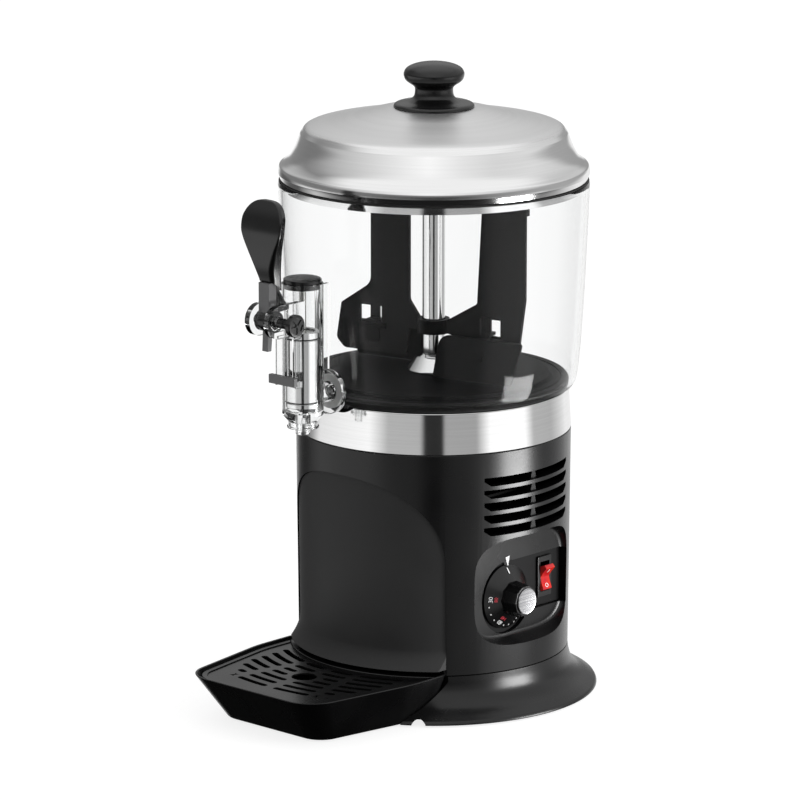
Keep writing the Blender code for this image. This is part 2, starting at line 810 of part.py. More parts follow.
def make_base_plate():
    """The sheet under the machine, cut away round the tray's dock."""
    plate = piece(rod(PLATE_R, PLATE_LOW_Z, PLATE_TOP_Z, BIG_SIDES), "base_plate", PLATED, machine)
    wall_gap = EASY_GAP + DOCK_WALL + SEAT_GAP
    apply_tool(plate, dock_space("plate_notch", wall_gap, wall_gap, PLATE_LOW_Z - CUT_OVER, DOCK_TOP_Z))
    over = (PLATE_LOW_Z - CUT_OVER, PLATE_TOP_Z + CUT_OVER)
    apply_tool(plate, flange_screw_holes("plate_screw_holes", *over))
    stems = [rod(FOOT_STEM_R + SEAT_GAP, *over, PIN_SIDES, around(FOOT_RING_R, a)) for a in FOOT_ANGLES]
    apply_tool(plate, tool(combine(*stems), "foot_holes", machine))


def make_feet():
    low_r = FOOT_R * FOOT_TAPER_SHARE
    top = PLATE_LOW_Z - SEAT_GAP
    profile = [(0, 0), (low_r, 0), (FOOT_R, top), (FOOT_STEM_R, top), (FOOT_STEM_R, PLATE_TOP_Z), (0, PLATE_TOP_Z)]
    for number, angle in enumerate(FOOT_ANGLES, 1):
        foot = turned(profile, SMALL_SIDES, around(FOOT_RING_R, angle))
        piece(foot, f"rubber_foot_{number}", RUBBER, machine)


def make_base_screws():
    head_top = PLATE_LOW_Z - SEAT_GAP
    head_low = head_top - SCREW_HEAD_HIGH
    tip = BASE_FLANGE_Z + BASE_FLANGE_THICK
    profile = [(0, head_low), (SCREW_HEAD_R, head_low), (SCREW_HEAD_R, head_top), (SCREW_R, head_top)]
    profile += [(SCREW_R, tip), (0, tip)]
    for number, angle in enumerate(BASE_SCREW_ANGLES, 1):
        screw = turned(profile, PIN_SIDES, around(BASE_SCREW_RING_R, angle))
        piece(screw, f"base_screw_{number}", PLATED, machine)


def housing_r(z):
    share = (z - BASE_TOP_Z) / (HOUSING_TOP_Z - BASE_TOP_Z)
    return HOUSING_R + (HOUSING_TOP_R - HOUSING_R) * share


def window_outline(gap, low_z):
    """The arched window, narrowed by a gap all round."""
    half = WINDOW_HALF - gap
    rise = WINDOW_RISE - gap
    arch = oval(half, rise, WINDOW_POWER, WINDOW_STEPS, (0, WINDOW_SPRING_Z))
    arch = arch[:WINDOW_STEPS // 2 + 1]
    return [(half, low_z), *arch, (-half, low_z)]


def vent_outline(top_z):
    low_z = top_z - VENT_HIGH
    step_z = top_z - VENT_STEP
    inner = VENT_HALF - VENT_CHAMFER
    return [
        (-VENT_HALF, top_z), (-VENT_HALF, step_z), (-inner, low_z), (inner, low_z), (VENT_HALF, step_z),
        (VENT_HALF, top_z),
    ]


def inner_pad(name, outline, x_low):
    """A thickening behind the housing's wall, with an outline seen along X, down to an inner face at x_low."""
    pad = tool(prism(outline, x_low, HOUSING_TOP_R, "X"), name, machine)
    mid_wall = HOUSING_WALL / 2
    core = [(0, BASE_TOP_Z), (HOUSING_R - mid_wall, BASE_TOP_Z), (HOUSING_TOP_R - mid_wall, HOUSING_TOP_Z),
            (0, HOUSING_TOP_Z)]
    apply_tool(pad, tool(turned(core, BIG_SIDES), f"{name}_face", machine), "INTERSECT")
    return pad


def scoop_ring(x, scale):
    outline = oval(SCOOP_HALF_Y * scale, SCOOP_HALF_Z * scale, SCOOP_POWER, SCOOP_STEPS, (0, SCOOP_Z))
    return [(x, a, b) for a, b in outline]


def scoop_parts(gap, low_x):
    """The sunk face's outline, a disc round the dial and a box round the switch, as two cutters."""
    outer_x = HOUSING_TOP_R + CUT_OVER
    disc = rod(DIAL_SUNK_R - gap, low_x, outer_x, MID_SIDES, (0, DIAL_Y, DIAL_Z), "X")
    box = block((low_x, outer_x), (DIAL_Y, SUNK_EDGE_Y - gap), (SUNK_LOW_Z + gap, SUNK_HIGH_Z - gap))
    return disc, box


def make_housing():
    """The moulded housing: the front window, the control scoop, the deep vents and the cord's inlet."""
    low_z = BASE_TOP_Z + SEAT_GAP
    wall_in = HOUSING_WALL
    ledge_low = HOUSING_TOP_Z - HOUSING_WALL
    profile = [
        (HOUSING_R, low_z), (HOUSING_TOP_R, HOUSING_TOP_Z), (HOUSING_LEDGE_R, HOUSING_TOP_Z),
        (HOUSING_LEDGE_R, ledge_low), (HOUSING_TOP_R - wall_in, ledge_low), (HOUSING_R - wall_in, low_z),
    ]
    shell = piece(turned(profile, BIG_SIDES), "housing", BLACK, machine)
    front = -(HOUSING_TOP_R + CUT_OVER)
    window = prism(window_outline(0, BASE_TOP_Z - CUT_OVER), front, -HOUSING_R / 2, "Y")
    apply_tool(shell, tool(window, "front_window", machine))
    outside = HOUSING_TOP_R + CUT_OVER
    half_y = SCOOP_HALF_Y + SCOOP_WALL
    half_z = SCOOP_HALF_Z + SCOOP_WALL
    scoop_outline = oval(half_y, half_z, SCOOP_POWER, SCOOP_STEPS, (0, SCOOP_Z))
    apply_tool(shell, inner_pad("scoop_pad", scoop_outline, PANEL_BACK_X), "UNION")
    pad_half = VENT_HALF + VENT_FRAME
    pad_low = SCOOP_Z + SCOOP_HALF_Z + WELD + WELD
    pad_top = VENT_TOP_Z + VENT_FRAME
    pad_outline = [(-pad_half, pad_low), (pad_half, pad_low), (pad_half, pad_top), (-pad_half, pad_top)]
    apply_tool(shell, inner_pad("vent_pad", pad_outline, HOUSING_R - HOUSING_WALL - VENT_DEEP), "UNION")
    depth = outside - SCOOP_FLOOR_X
    rings = [scoop_ring(SCOOP_FLOOR_X + depth * d, s) for d, s in SCOOP_LOFT_SHARE]
    apply_tool(shell, tool(skin(rings), "scoop", machine))
    disc, box = scoop_parts(0, PANEL_BACK_X - CUT_OVER)
    apply_tool(shell, tool(disc, "sunk_disc", machine))
    apply_tool(shell, tool(box, "sunk_box", machine))
    slots = []
    for row in range(VENT_COUNT):
        slots.append(prism(vent_outline(VENT_TOP_Z - row * VENT_PITCH), HOUSING_R / 2, outside, "X"))
    apply_tool(shell, tool(combine(*slots), "vent_slots", machine))
    half = MULLION_WIDE / 2
    wall_x = HOUSING_R - HOUSING_WALL
    low = VENT_TOP_Z - VENT_COUNT * VENT_PITCH
    mullion = block((wall_x - MULLION_DEEP, wall_x + HOUSING_WALL / 2), (-half, half), (low, VENT_TOP_Z + VENT_STEP))
    apply_tool(shell, tool(mullion, "vent_mullion", machine), "UNION")
    inlet = rod(INLET_R + SEAT_GAP, HOUSING_R / 2, outside, SMALL_SIDES, (0, 0, INLET_Z), "Y")
    apply_tool(shell, tool(inlet, "inlet_hole", machine))


def make_front_cover():
    """The cover panel in the window. Its lip flares over the tray and turns in as a shelf above the dock."""
    top_z = WINDOW_SPRING_Z + WINDOW_RISE + CUT_OVER
    crease_r = housing_r(COVER_CREASE_Z) - COVER_RECESS
    line = [(housing_r(top_z) - COVER_RECESS, top_z), (crease_r, COVER_CREASE_Z)]
    steps = 4
    for k in range(1, steps + 1):
        share = k / steps
        height = COVER_CREASE_Z + (COVER_LIP_Z - COVER_CREASE_Z) * share
        line.append((crease_r + COVER_LIP_OUT * share ** 2, height))
    inner = offset(line[:-1], -COVER_WALL)
    shelf_top = COVER_LIP_Z + COVER_SHELF_THICK
    inner = [p for p in inner if p[1] > shelf_top]
    profile = line + [(COVER_SHELF_R, COVER_LIP_Z), (COVER_SHELF_R, shelf_top)]
    profile += [(crease_r - COVER_WALL, shelf_top)] + list(reversed(inner))
    cover = piece(turned(profile, BIG_SIDES), "front_cover", BLACK, machine)
    outline = window_outline(SEAT_GAP, COVER_LIP_Z - CUT_OVER)
    reach = prism(outline, -BASE_R, -HOUSING_R / 3, "Y")
    apply_tool(cover, tool(reach, "cover_outline", machine), "INTERSECT")


def make_control_panel():
    """The plate let into the scoop's floor, a disc joined to a box, which carries the dial and the switch."""
    disc, box = scoop_parts(SEAT_GAP, PANEL_BACK_X)
    panel = piece(disc, "control_panel", BLACK, machine)
    apply_tool(panel, tool(box, "panel_box", machine), "UNION")
    outer_x = HOUSING_TOP_R + CUT_OVER
    low_z = SCOOP_Z - SCOOP_HALF_Z
    high_z = SCOOP_Z + SCOOP_HALF_Z
    above = block((PANEL_SUNK_X, outer_x + CUT_OVER), (-SCOOP_HALF_Y, SCOOP_HALF_Y), (low_z, high_z))
    apply_tool(panel, tool(above, "panel_above", machine))
    shaft_hole = rod(THERMO_COLLAR_R + SEAT_GAP, PANEL_BACK_X - CUT_OVER, outer_x, SMALL_SIDES,
                     (0, DIAL_Y, DIAL_Z), "X")
    apply_tool(panel, tool(shaft_hole, "collar_hole", machine))
    half_y = SWITCH_BODY_WIDE / 2 + SEAT_GAP
    half_z = SWITCH_BODY_HIGH / 2 + SEAT_GAP
    hole = block((PANEL_BACK_X - CUT_OVER, outer_x), (SWITCH_Y - half_y, SWITCH_Y + half_y),
                 (SWITCH_Z - half_z, SWITCH_Z + half_z))
    apply_tool(panel, tool(hole, "switch_hole", machine))


DIAL_BACK_X = PANEL_SUNK_X + EASY_GAP
DIAL_GRIP_X = DIAL_BACK_X + DIAL_EDGE + DIAL_CONE_HIGH
DIAL_FRONT_X = PANEL_SUNK_X + DIAL_PROUD
SPINDLE_TIP_X = DIAL_BACK_X + SPINDLE_IN


def make_dial():
    """The numbered skirt and its faceted grip, bored for the spindle."""
    centre = (0, DIAL_Y, DIAL_Z)
    bore = SPINDLE_R + SEAT_GAP
    depth = SPINDLE_TIP_X + SEAT_GAP
    skirt_edge = DIAL_BACK_X + DIAL_EDGE
    profile = [
        (bore, DIAL_BACK_X), (DIAL_SKIRT_R, DIAL_BACK_X), (DIAL_SKIRT_R, skirt_edge), (GRIP_R, DIAL_GRIP_X),
        (bore, DIAL_GRIP_X),
    ]
    knob = piece(turned(profile, MID_SIDES, centre, "X"), "dial_knob", TRIM_BLACK, dial_axis)
    grip_profile = [
        (bore, DIAL_BACK_X + DIAL_EDGE / 2), (GRIP_TOP_R, DIAL_BACK_X + DIAL_EDGE / 2), (GRIP_R, DIAL_GRIP_X),
        (GRIP_TOP_R, DIAL_FRONT_X), (0, DIAL_FRONT_X), (0, depth), (bore, depth),
    ]
    apply_tool(knob, tool(turned(grip_profile, GRIP_FLATS, centre, "X"), "faceted_grip", dial_axis), "UNION")
    cap_low = DIAL_FRONT_X + SEAT_GAP
    cap_bevel = CAP_THICK / 3
    cap = [
        (0, cap_low), (CAP_R, cap_low), (CAP_R, cap_low + CAP_THICK - cap_bevel),
        (CAP_R - cap_bevel, cap_low + CAP_THICK), (0, cap_low + CAP_THICK),
    ]
    piece(turned(cap, MID_SIDES, centre, "X"), "dial_cap", SILVER, dial_axis)
    collar_in = PANEL_BACK_X - THERMO_DEEP / 3
    piece(rod(SPINDLE_R, collar_in, SPINDLE_TIP_X, SMALL_SIDES, centre, "X"), "dial_spindle", PLATED, dial_axis)


def make_thermostat():
    centre = (0, DIAL_Y, DIAL_Z)
    half = THERMO_WIDE / 2
    front = PANEL_BACK_X - SEAT_GAP
    back = front - THERMO_DEEP
    outline = rounded_box(half, half, half / 5, 2, (DIAL_Y, DIAL_Z))
    body = piece(prism(outline, back, front, "X"), "thermostat_body", PLATED, machine)
    collar = rod(THERMO_COLLAR_R, front - CUT_OVER, PANEL_SUNK_X + EASY_GAP / 2, SMALL_SIDES, centre, "X")
    apply_tool(body, tool(collar, "thermostat_collar", machine), "UNION")
    bore = rod(SPINDLE_R + SEAT_GAP, PANEL_BACK_X - THERMO_DEEP / 3 - SEAT_GAP, DIAL_FRONT_X, SMALL_SIDES, centre, "X")
    apply_tool(body, tool(bore, "thermostat_bore", machine))


def make_switch():
    """The switch: a bezel on the panel's sunk face, its body behind it and a well for the rocker."""
    face_back = PANEL_SUNK_X + SEAT_GAP
    outline = rounded_box(BEZEL_WIDE / 2, BEZEL_HIGH / 2, BEZEL_THICK / 3, 2, (SWITCH_Y, SWITCH_Z))
    switch = piece(prism(outline, face_back, face_back + BEZEL_THICK, "X"), "switch_body", TRIM_BLACK, machine)
    half_y = SWITCH_BODY_WIDE / 2
    half_z = SWITCH_BODY_HIGH / 2
    body = block((PANEL_SUNK_X - SWITCH_BODY_DEEP, face_back + BEZEL_THICK / 2),
                 (SWITCH_Y - half_y, SWITCH_Y + half_y), (SWITCH_Z - half_z, SWITCH_Z + half_z))
    apply_tool(switch, tool(body, "switch_block", machine), "UNION")
    well_y = ROCKER_WIDE / 2 + SEAT_GAP
    well_z = ROCKER_HALF + EASY_GAP
    well = block((face_back + BEZEL_THICK - ROCKER_WELL_DEEP, face_back + BEZEL_THICK + CUT_OVER),
                 (SWITCH_Y - well_y, SWITCH_Y + well_y), (SWITCH_Z - well_z, SWITCH_Z + well_z))
    apply_tool(switch, tool(well, "rocker_well", machine))


def make_rocker():
    """The rocker, tipped to off: its upper nose stands out of the bezel."""
    nose_z = ROCKER_HALF * ROCKER_NOSE_SHARE
    outline = [
        (ROCKER_DIP, 0), (ROCKER_NOSE, nose_z), (ROCKER_NOSE - ROCKER_DIP, ROCKER_HALF),
        (-ROCKER_DEEP, ROCKER_HALF * ROCKER_KEEL_SHARE), (-ROCKER_DEEP, -ROCKER_HALF * ROCKER_KEEL_SHARE),
        (ROCKER_NOSE - ROCKER_DIP, -ROCKER_HALF), (ROCKER_NOSE, -nose_z),
    ]
    half = ROCKER_WIDE / 2
    bm = prism(outline, -half, half, "Y")
    bm.transform(Matrix.Rotation(ROCKER_TURN / 2, 4, "Y"))
    bm.transform(Matrix.Translation(rocker_axis["place"]))
    piece(bm, "rocker", RED, rocker_axis)


def make_band():
    """The polished band round the hotplate, scooped at the front where the tap's flange hangs."""
    low_z = HOUSING_TOP_Z + SEAT_GAP
    line = [(HOUSING_TOP_R, low_z), (BAND_TOP_R, BAND_TOP_Z)]
    flange_low = BAND_TOP_Z - BAND_SHEET
    profile = line + [
        (BAND_FLANGE_R, BAND_TOP_Z), (BAND_FLANGE_R, flange_low), (BAND_TOP_R - BAND_SHEET, flange_low),
        (HOUSING_TOP_R - BAND_SHEET, low_z),
    ]
    band = piece(turned(profile, BIG_SIDES), "steel_band", STEEL, machine)
    notch = rod(BAND_NOTCH_R, -(HOUSING_TOP_R + CUT_OVER), -HOUSING_R / 2, MID_SIDES, (0, 0, BAND_NOTCH_Z), "Y")
    apply_tool(band, tool(notch, "band_notch", machine))


def make_hotplate():
    """The coated plate inside the bowl's foot, a stepped pan whose skirt stands on the housing."""
    under_z = HOT_TOP_Z - HOT_THICK
    rim_low = HOT_RIM_Z - HOT_THICK
    skirt_in = PLATE_SKIRT_R - PLATE_SKIRT_WALL
    foot_z = HOUSING_TOP_Z + SEAT_GAP
    bore = COLUMN_BORE_R + BASE_WALL / 2 + SEAT_GAP
    step = HOT_TOP_Z - HOT_RIM_Z
    profile = [
        (bore, HOT_TOP_Z), (HOT_STEP_R, HOT_TOP_Z), (HOT_STEP_R + step / 2, HOT_RIM_Z), (PLATE_SKIRT_R, HOT_RIM_Z),
        (PLATE_SKIRT_R, foot_z), (skirt_in, foot_z), (skirt_in, rim_low), (HOT_STEP_R - step / 2, rim_low),
        (HOT_STEP_R - step, under_z), (bore, under_z),
    ]
    piece(turned(profile, BIG_SIDES), "hotplate", COATED, machine)


COLUMN_TAIL_R = COLUMN_BORE_R + BASE_WALL / 2


def make_column():
    """The fixed steel column that carries the drive shaft through the chocolate."""
    low = HOT_TOP_Z + SEAT_GAP
    foot_edge = COLUMN_CONE_HIGH / 6
    cone_top = low + COLUMN_CONE_HIGH
    tail = HOT_TOP_Z - COLUMN_TAIL
    profile = [
        (COLUMN_TAIL_R, low), (COLUMN_FOOT_R, low), (COLUMN_FOOT_R, low + foot_edge), (COLUMN_CONE_R, cone_top),
        (COLUMN_R, cone_top + foot_edge), (COLUMN_R, COLUMN_TOP_Z), (COLUMN_BORE_R, COLUMN_TOP_Z),
        (COLUMN_BORE_R, tail), (COLUMN_TAIL_R, tail),
    ]
    piece(turned(profile, MID_SIDES), "column", STEEL, machine)
    nut_top = HOT_TOP_Z - HOT_THICK - SEAT_GAP
    nut = [
        (COLUMN_TAIL_R + SEAT_GAP, nut_top - NUT_HIGH), (NUT_R, nut_top - NUT_HIGH), (NUT_R, nut_top),
        (COLUMN_TAIL_R + SEAT_GAP, nut_top),
    ]
    nut_sides = 6
    bm = turned(nut, nut_sides * 4)
    piece(bm, "column_nut", BRASS, machine)


def make_element():
    """The tubular heater pressed up under the hotplate, open at one side, with two legs down."""
    z = HOT_TOP_Z - HOT_THICK - ELEMENT_R - SEAT_GAP
    points = []
    start = ELEMENT_START
    steps = 24
    leg_z = z - ELEMENT_LEG
    first = around(ELEMENT_RING_R, start)
    points.append((first[0], first[1], leg_z))
    points.append((first[0], first[1], z - ELEMENT_R * 2))
    for k in range(steps + 1):
        x, y, _ = around(ELEMENT_RING_R, start + (math.tau - 2 * start) * (k + 0.5) / (steps + 1))
        points.append((x, y, z))
    last = around(ELEMENT_RING_R, -start)
    points.append((last[0], last[1], z - ELEMENT_R * 2))
    points.append((last[0], last[1], leg_z))
    wire(points, ELEMENT_R, "heating_element", PLATED, machine, 1)


def make_shield():
    """The dished sheet that keeps the heat off the motor; its rim touches the hotplate's skirt."""
    rim_r = PLATE_SKIRT_R - PLATE_SKIRT_WALL - SEAT_GAP
    top = SHIELD_Z + SHIELD_RIM
    profile = [
        (SHIELD_HOLE_R, SHIELD_Z), (rim_r, SHIELD_Z), (rim_r, top), (rim_r - SHIELD_THICK, top),
        (rim_r - SHIELD_THICK, SHIELD_Z + SHIELD_THICK), (SHIELD_HOLE_R, SHIELD_Z + SHIELD_THICK),
    ]
    piece(turned(profile, BIG_SIDES), "heat_shield", PLATED, machine)


def make_cutout():
    """The thermal cut-out clipped under the hotplate."""
    top = HOT_TOP_Z - HOT_THICK - SEAT_GAP
    x, y, _ = around(CUTOUT_RING_R, CUTOUT_ANGLE)
    body = piece(rod(CUTOUT_R, top - CUTOUT_HIGH, top, SMALL_SIDES, (x, y, 0)), "thermal_cutout", CERAMIC, machine)
    blade = CUTOUT_R / 2
    for side in (-1, 1):
        low = top - CUTOUT_HIGH * 2
        tab = block((x + side * blade - WELD, x + side * blade + CUTOUT_R / 8), (y - blade / 2, y + blade / 2),
                    (low, top - CUTOUT_HIGH / 2))
        apply_tool(body, tool(tab, f"cutout_blade_{side + 2}", machine), "UNION")


def make_shaft():
    """The drive shaft, with a square tip that carries the stirrer."""
    shoulder = COLUMN_TOP_Z + EASY_GAP
    shaft = piece(rod(SHAFT_R, SHAFT_END_Z, shoulder, SMALL_SIDES), "drive_shaft", STEEL, shaft_axis)
    half = SHAFT_SQUARE / 2
    tip = block((-half, half), (-half, half), (shoulder - CUT_OVER, SHAFT_TIP_Z))
    apply_tool(shaft, tool(tip, "square_tip", shaft_axis), "UNION")
    bore = SHAFT_R + SEAT_GAP
    stub_low = BRACKET_Z - GEARBOX_HIGH / 3
    stub_r = SHAFT_R
    floor = SHAFT_END_Z - SEAT_GAP
    profile = [
        (0, stub_low), (stub_r, stub_low), (stub_r, COUPLING_LOW_Z), (COUPLING_R, COUPLING_LOW_Z),
        (COUPLING_R, COUPLING_TOP_Z), (bore, COUPLING_TOP_Z), (bore, floor), (0, floor),
    ]
    piece(turned(profile, SMALL_SIDES), "shaft_coupling", PLATED, shaft_axis)


def make_bushes():
    outer = COLUMN_BORE_R - SEAT_GAP
    inner = SHAFT_R + SEAT_GAP
    low_end = HOT_TOP_Z - COLUMN_TAIL
    for name, low in (("upper_bush", COLUMN_TOP_Z - BUSH_HIGH), ("lower_bush", low_end)):
        piece(tube(outer, inner, low, low + BUSH_HIGH, SMALL_SIDES), name, BRASS, machine)


def post_places():
    return [(x * POST_X, y * POST_Y, 0) for x in (-1, 1) for y in (-1, 1)]


def make_bracket():
    """The bridge that carries the geared motor: a plate on four legs that stand on the base plate."""
    low = PLATE_TOP_Z + SEAT_GAP
    outline = rounded_box(BRACKET_HALF_X, BRACKET_HALF_Y, POST_R, 3)
    plate = piece(prism(outline, BRACKET_Z, BRACKET_Z + BRACKET_THICK), "motor_bracket", PLATED, machine)
    legs = [rod(POST_R, low, BRACKET_Z + BRACKET_THICK / 2, PIN_SIDES, place) for place in post_places()]
    apply_tool(plate, tool(combine(*legs), "bracket_legs", machine), "UNION")
    over = (BRACKET_Z - CUT_OVER, BRACKET_Z + BRACKET_THICK + CUT_OVER)
    apply_tool(plate, tool(rod(BRACKET_HOLE_R, *over, SMALL_SIDES), "bracket_hole", machine))


def make_motor():
    """The geared motor hung under the plate."""
    box_top = BRACKET_Z - SEAT_GAP
    box_low = box_top - GEARBOX_HIGH
    outline = rounded_box(GEARBOX_HALF_X, GEARBOX_HALF_Y, POST_R, 3)
    gearbox = piece(prism(outline, box_low, box_top), "gearbox", PLATED, machine)
    well = rod(SHAFT_R + RUN_GAP, BRACKET_Z - GEARBOX_HIGH / 3 - RUN_GAP, box_top + CUT_OVER, SMALL_SIDES)
    apply_tool(gearbox, tool(well, "gearbox_well", machine))
    can_top = box_low - SEAT_GAP
    can_low = can_top - MOTOR_HIGH
    boss_low = can_low - MOTOR_BOSS_HIGH
    edge = MOTOR_BOSS_HIGH / 2
    profile = [
        (0, boss_low), (MOTOR_BOSS_R, boss_low), (MOTOR_BOSS_R, can_low), (MOTOR_R - edge, can_low),
        (MOTOR_R, can_low + edge), (MOTOR_R, can_top), (0, can_top),
    ]
    piece(turned(profile, MID_SIDES), "motor", BLACK, machine)


def make_terminals():
    """The terminal strip on the base plate, with a well at each way."""
    low = PLATE_TOP_Z + SEAT_GAP
    top = low + TERMINAL_HIGH
    half_y = TERMINAL_LONG / 2
    half_x = TERMINAL_WIDE / 2
    body = block((TERMINAL_X - half_x, TERMINAL_X + half_x), (TERMINAL_Y - half_y, TERMINAL_Y + half_y), (low, top))
    strip = piece(body, "terminal_block", CERAMIC, machine)
    pitch = TERMINAL_LONG / TERMINAL_WAYS
    wells = []
    for way in range(TERMINAL_WAYS):
        y = TERMINAL_Y - half_y + pitch * (way + 0.5)
        wells.append(rod(pitch / 4, top - TERMINAL_HIGH / 3, top + CUT_OVER, PIN_SIDES, (TERMINAL_X, y, 0)))
    apply_tool(strip, tool(combine(*wells), "terminal_wells", machine))


def make_inlet():
    """The empty cord inlet at the back."""
    wall = housing_r(INLET_Z)
    inside = wall - HOUSING_WALL - (INLET_LONG - HOUSING_WALL) / 3
    flange_in = wall + SEAT_GAP
    flange_out = flange_in + HOUSING_WALL
    tip = flange_in + INLET_PROUD
    profile = [
        (INLET_BORE_R, inside), (INLET_R, inside), (INLET_R, flange_in), (INLET_FLANGE_R, flange_in),
        (INLET_FLANGE_R, flange_out), (INLET_R, flange_out), (INLET_BORE_R + HOUSING_WALL / 2, tip),
        (INLET_BORE_R, tip),
    ]
    piece(turned(profile, SMALL_SIDES, (0, 0, INLET_Z), "Y"), "cord_inlet", RUBBER, machine)


TRAY_CORNER_STEPS = 4


def tray_outline(share, shrink=0.0):
    """The tray's outline at a share of its height, from its foot (0) to its rim (1)."""
    def between(foot, rim):
        return foot + (rim - foot) * share
    half = between(TRAY_FOOT_HALF, TRAY_HALF)
    front = between(TRAY_FOOT_FRONT, TRAY_FRONT)
    front_half = half * TRAY_FRONT_SHARE
    bend = TRAY_REAR + (front - TRAY_REAR) * TRAY_BEND_SHARE
    corner = front - (TRAY_HALF - half) * TRAY_CORNER_SHARE
    right = [
        (half, -TRAY_REAR, TRAY_REAR_R * between(TRAY_REAR_FOOT_SHARE, 1)),
        (half, -bend, TRAY_BEND_R * between(TRAY_BEND_FOOT_SHARE, 1)),
        (front_half, -corner, TRAY_CORNER_R * between(TRAY_CORNER_FOOT_SHARE, 1)),
    ]
    left = [(-x, y, r) for x, y, r in reversed(right)]
    outline = rounded(left + right, TRAY_CORNER_STEPS)
    return offset_ring(outline, -shrink) if shrink else outline


def tray_ring(z, shrink=0.0):
    share = (z - TRAY_LOW_Z) / (TRAY_TOP_Z - TRAY_LOW_Z)
    return [(x, y, z) for x, y in tray_outline(share, shrink)]


GRID_LOW_Z = GRID_TOP_Z - GRID_THICK
TRAY_LEDGE_Z = GRID_LOW_Z - SEAT_GAP


def grid_rear_r():
    """The grid's rear edge follows the cover's lip, so the grid lifts straight out past it."""
    return housing_r(COVER_CREASE_Z) - COVER_RECESS + COVER_LIP_OUT + GRID_LIFT_GAP


def make_tray():
    """The drip tray, with a deck under the cover's lip and a ledge for the grid all round."""
    tray = piece(skin([tray_ring(TRAY_LOW_Z), tray_ring(TRAY_TOP_Z)]), "drip_tray", BLACK, tray_slide)
    floor_z = TRAY_LOW_Z + TRAY_FLOOR
    deep = TRAY_WALL + TRAY_LEDGE
    lower = skin([tray_ring(floor_z, deep), tray_ring(TRAY_LEDGE_Z + EASY_GAP, deep)])
    upper = skin([tray_ring(TRAY_LEDGE_Z, TRAY_WALL), tray_ring(TRAY_TOP_Z + EASY_GAP, TRAY_WALL)])
    apply_tool(tray, tool(lower, "tray_well", tray_slide))
    apply_tool(tray, tool(upper, "tray_rim_step", tray_slide))
    deck_low = TRAY_LEDGE_Z - DECK_THICK
    deck_r = grid_rear_r() - RUN_GAP
    ledge_r = deck_r + TRAY_LEDGE
    profile = [(0, deck_low), (ledge_r, deck_low), (ledge_r, TRAY_LEDGE_Z), (deck_r, TRAY_LEDGE_Z), (deck_r, GRID_TOP_Z),
               (0, GRID_TOP_Z)]
    deck = tool(turned(profile, BIG_SIDES), "tray_deck", tray_slide)
    within = [tray_ring(z, TRAY_WALL / 2) for z in (deck_low - CUT_OVER, GRID_TOP_Z + CUT_OVER)]
    apply_tool(deck, tool(skin(within), "tray_deck_edge", tray_slide), "INTERSECT")
    apply_tool(tray, deck, "UNION")


def arc_slot(radius, start, stop, low, high):
    """A slot that follows a circle round the machine's axis, with pointed round ends."""
    steps = 1 if (stop - start) * radius < GRID_SLOT * 4 else 2
    half = GRID_SLOT / 2
    reach = half / radius
    outer = []
    inner = []
    for k in range(steps + 1):
        angle = start + (stop - start) * k / steps
        outer.append(around(radius + half, angle)[:2])
        inner.append(around(radius - half, angle)[:2])
    tip_a = around(radius, start - reach)[:2]
    tip_b = around(radius, stop + reach)[:2]
    return prism([tip_a, *outer, tip_b, *reversed(inner)], low, high)


def slot_spans(row, radius):
    """The four slots of one row, as angle spans on the +X side; the -X side mirrors them."""
    edge = GRID_SLOT / 2 / radius
    bridge = GRID_BRIDGE / 2 / radius
    hole_gap = GRID_HOLE_R + GRID_BRIDGE + GRID_SLOT / 2
    reach = hole_gap ** 2 - (radius + TAP_Y) ** 2
    start = math.asin(math.sqrt(reach) / radius) if reach > 0 else 0
    inner_from = max(start, bridge + edge)
    half = TRAY_HALF - GRID_RIM
    sides = math.asin(min(1, half / radius))
    rows_share = row / (GRID_ROWS - 1)
    wide_share = GRID_REAR_SHARE + GRID_SPREAD_SHARE * min(1, rows_share * GRID_SPREAD_RATE_SHARE)
    front_cut = math.asin((TRAY_HALF * wide_share - GRID_RIM) / radius)
    outer_to = min(sides, front_cut) - edge
    return [(inner_from + edge, GRID_INNER_TO - edge), (GRID_OUTER_AT + edge, outer_to)]


def make_grid():
    """The slotted grid that lies in the tray's rim."""
    gap = TRAY_WALL + RUN_GAP
    outline = [(x, y) for x, y, _ in tray_ring(TRAY_LEDGE_Z, gap)]
    grid = piece(prism(outline, GRID_LOW_Z, GRID_TOP_Z), "drip_grid", BLACK, grid_lift)
    low = GRID_LOW_Z - CUT_OVER
    high = GRID_TOP_Z + CUT_OVER
    slots = [rod(GRID_HOLE_R, low, high, SMALL_SIDES, (0, TAP_Y, 0)), rod(grid_rear_r(), low, high, BIG_SIDES)]
    for row in range(GRID_ROWS):
        radius = GRID_FIRST_R - row * GRID_PITCH
        for start, stop in slot_spans(row, radius):
            slots.append(arc_slot(radius, start, stop, low, high))
            slots.append(arc_slot(radius, -stop, -start, low, high))
    apply_tool(grid, tool(combine(*slots), "grid_slots", grid_lift))


def bowl_line():
    """The bowl's outer line from its rim down to its foot's underside."""
    rise = BOWL_TOP_Z - BOWL_FOOT_Z
    spread = BOWL_TOP_R - BOWL_FOOT_R
    line = []
    for share in reversed(BOWL_STEP_SHARES):
        line.append((BOWL_FOOT_R + spread * share ** BOWL_SWELL_SHARE, BOWL_FOOT_Z + rise * share))
    corner = BOWL_FOOT_Z - BOWL_LOW_Z
    line.append((BOWL_FOOT_R, BOWL_FOOT_Z))
    line.append((BOWL_FOOT_R - corner, BOWL_LOW_Z))
    return line


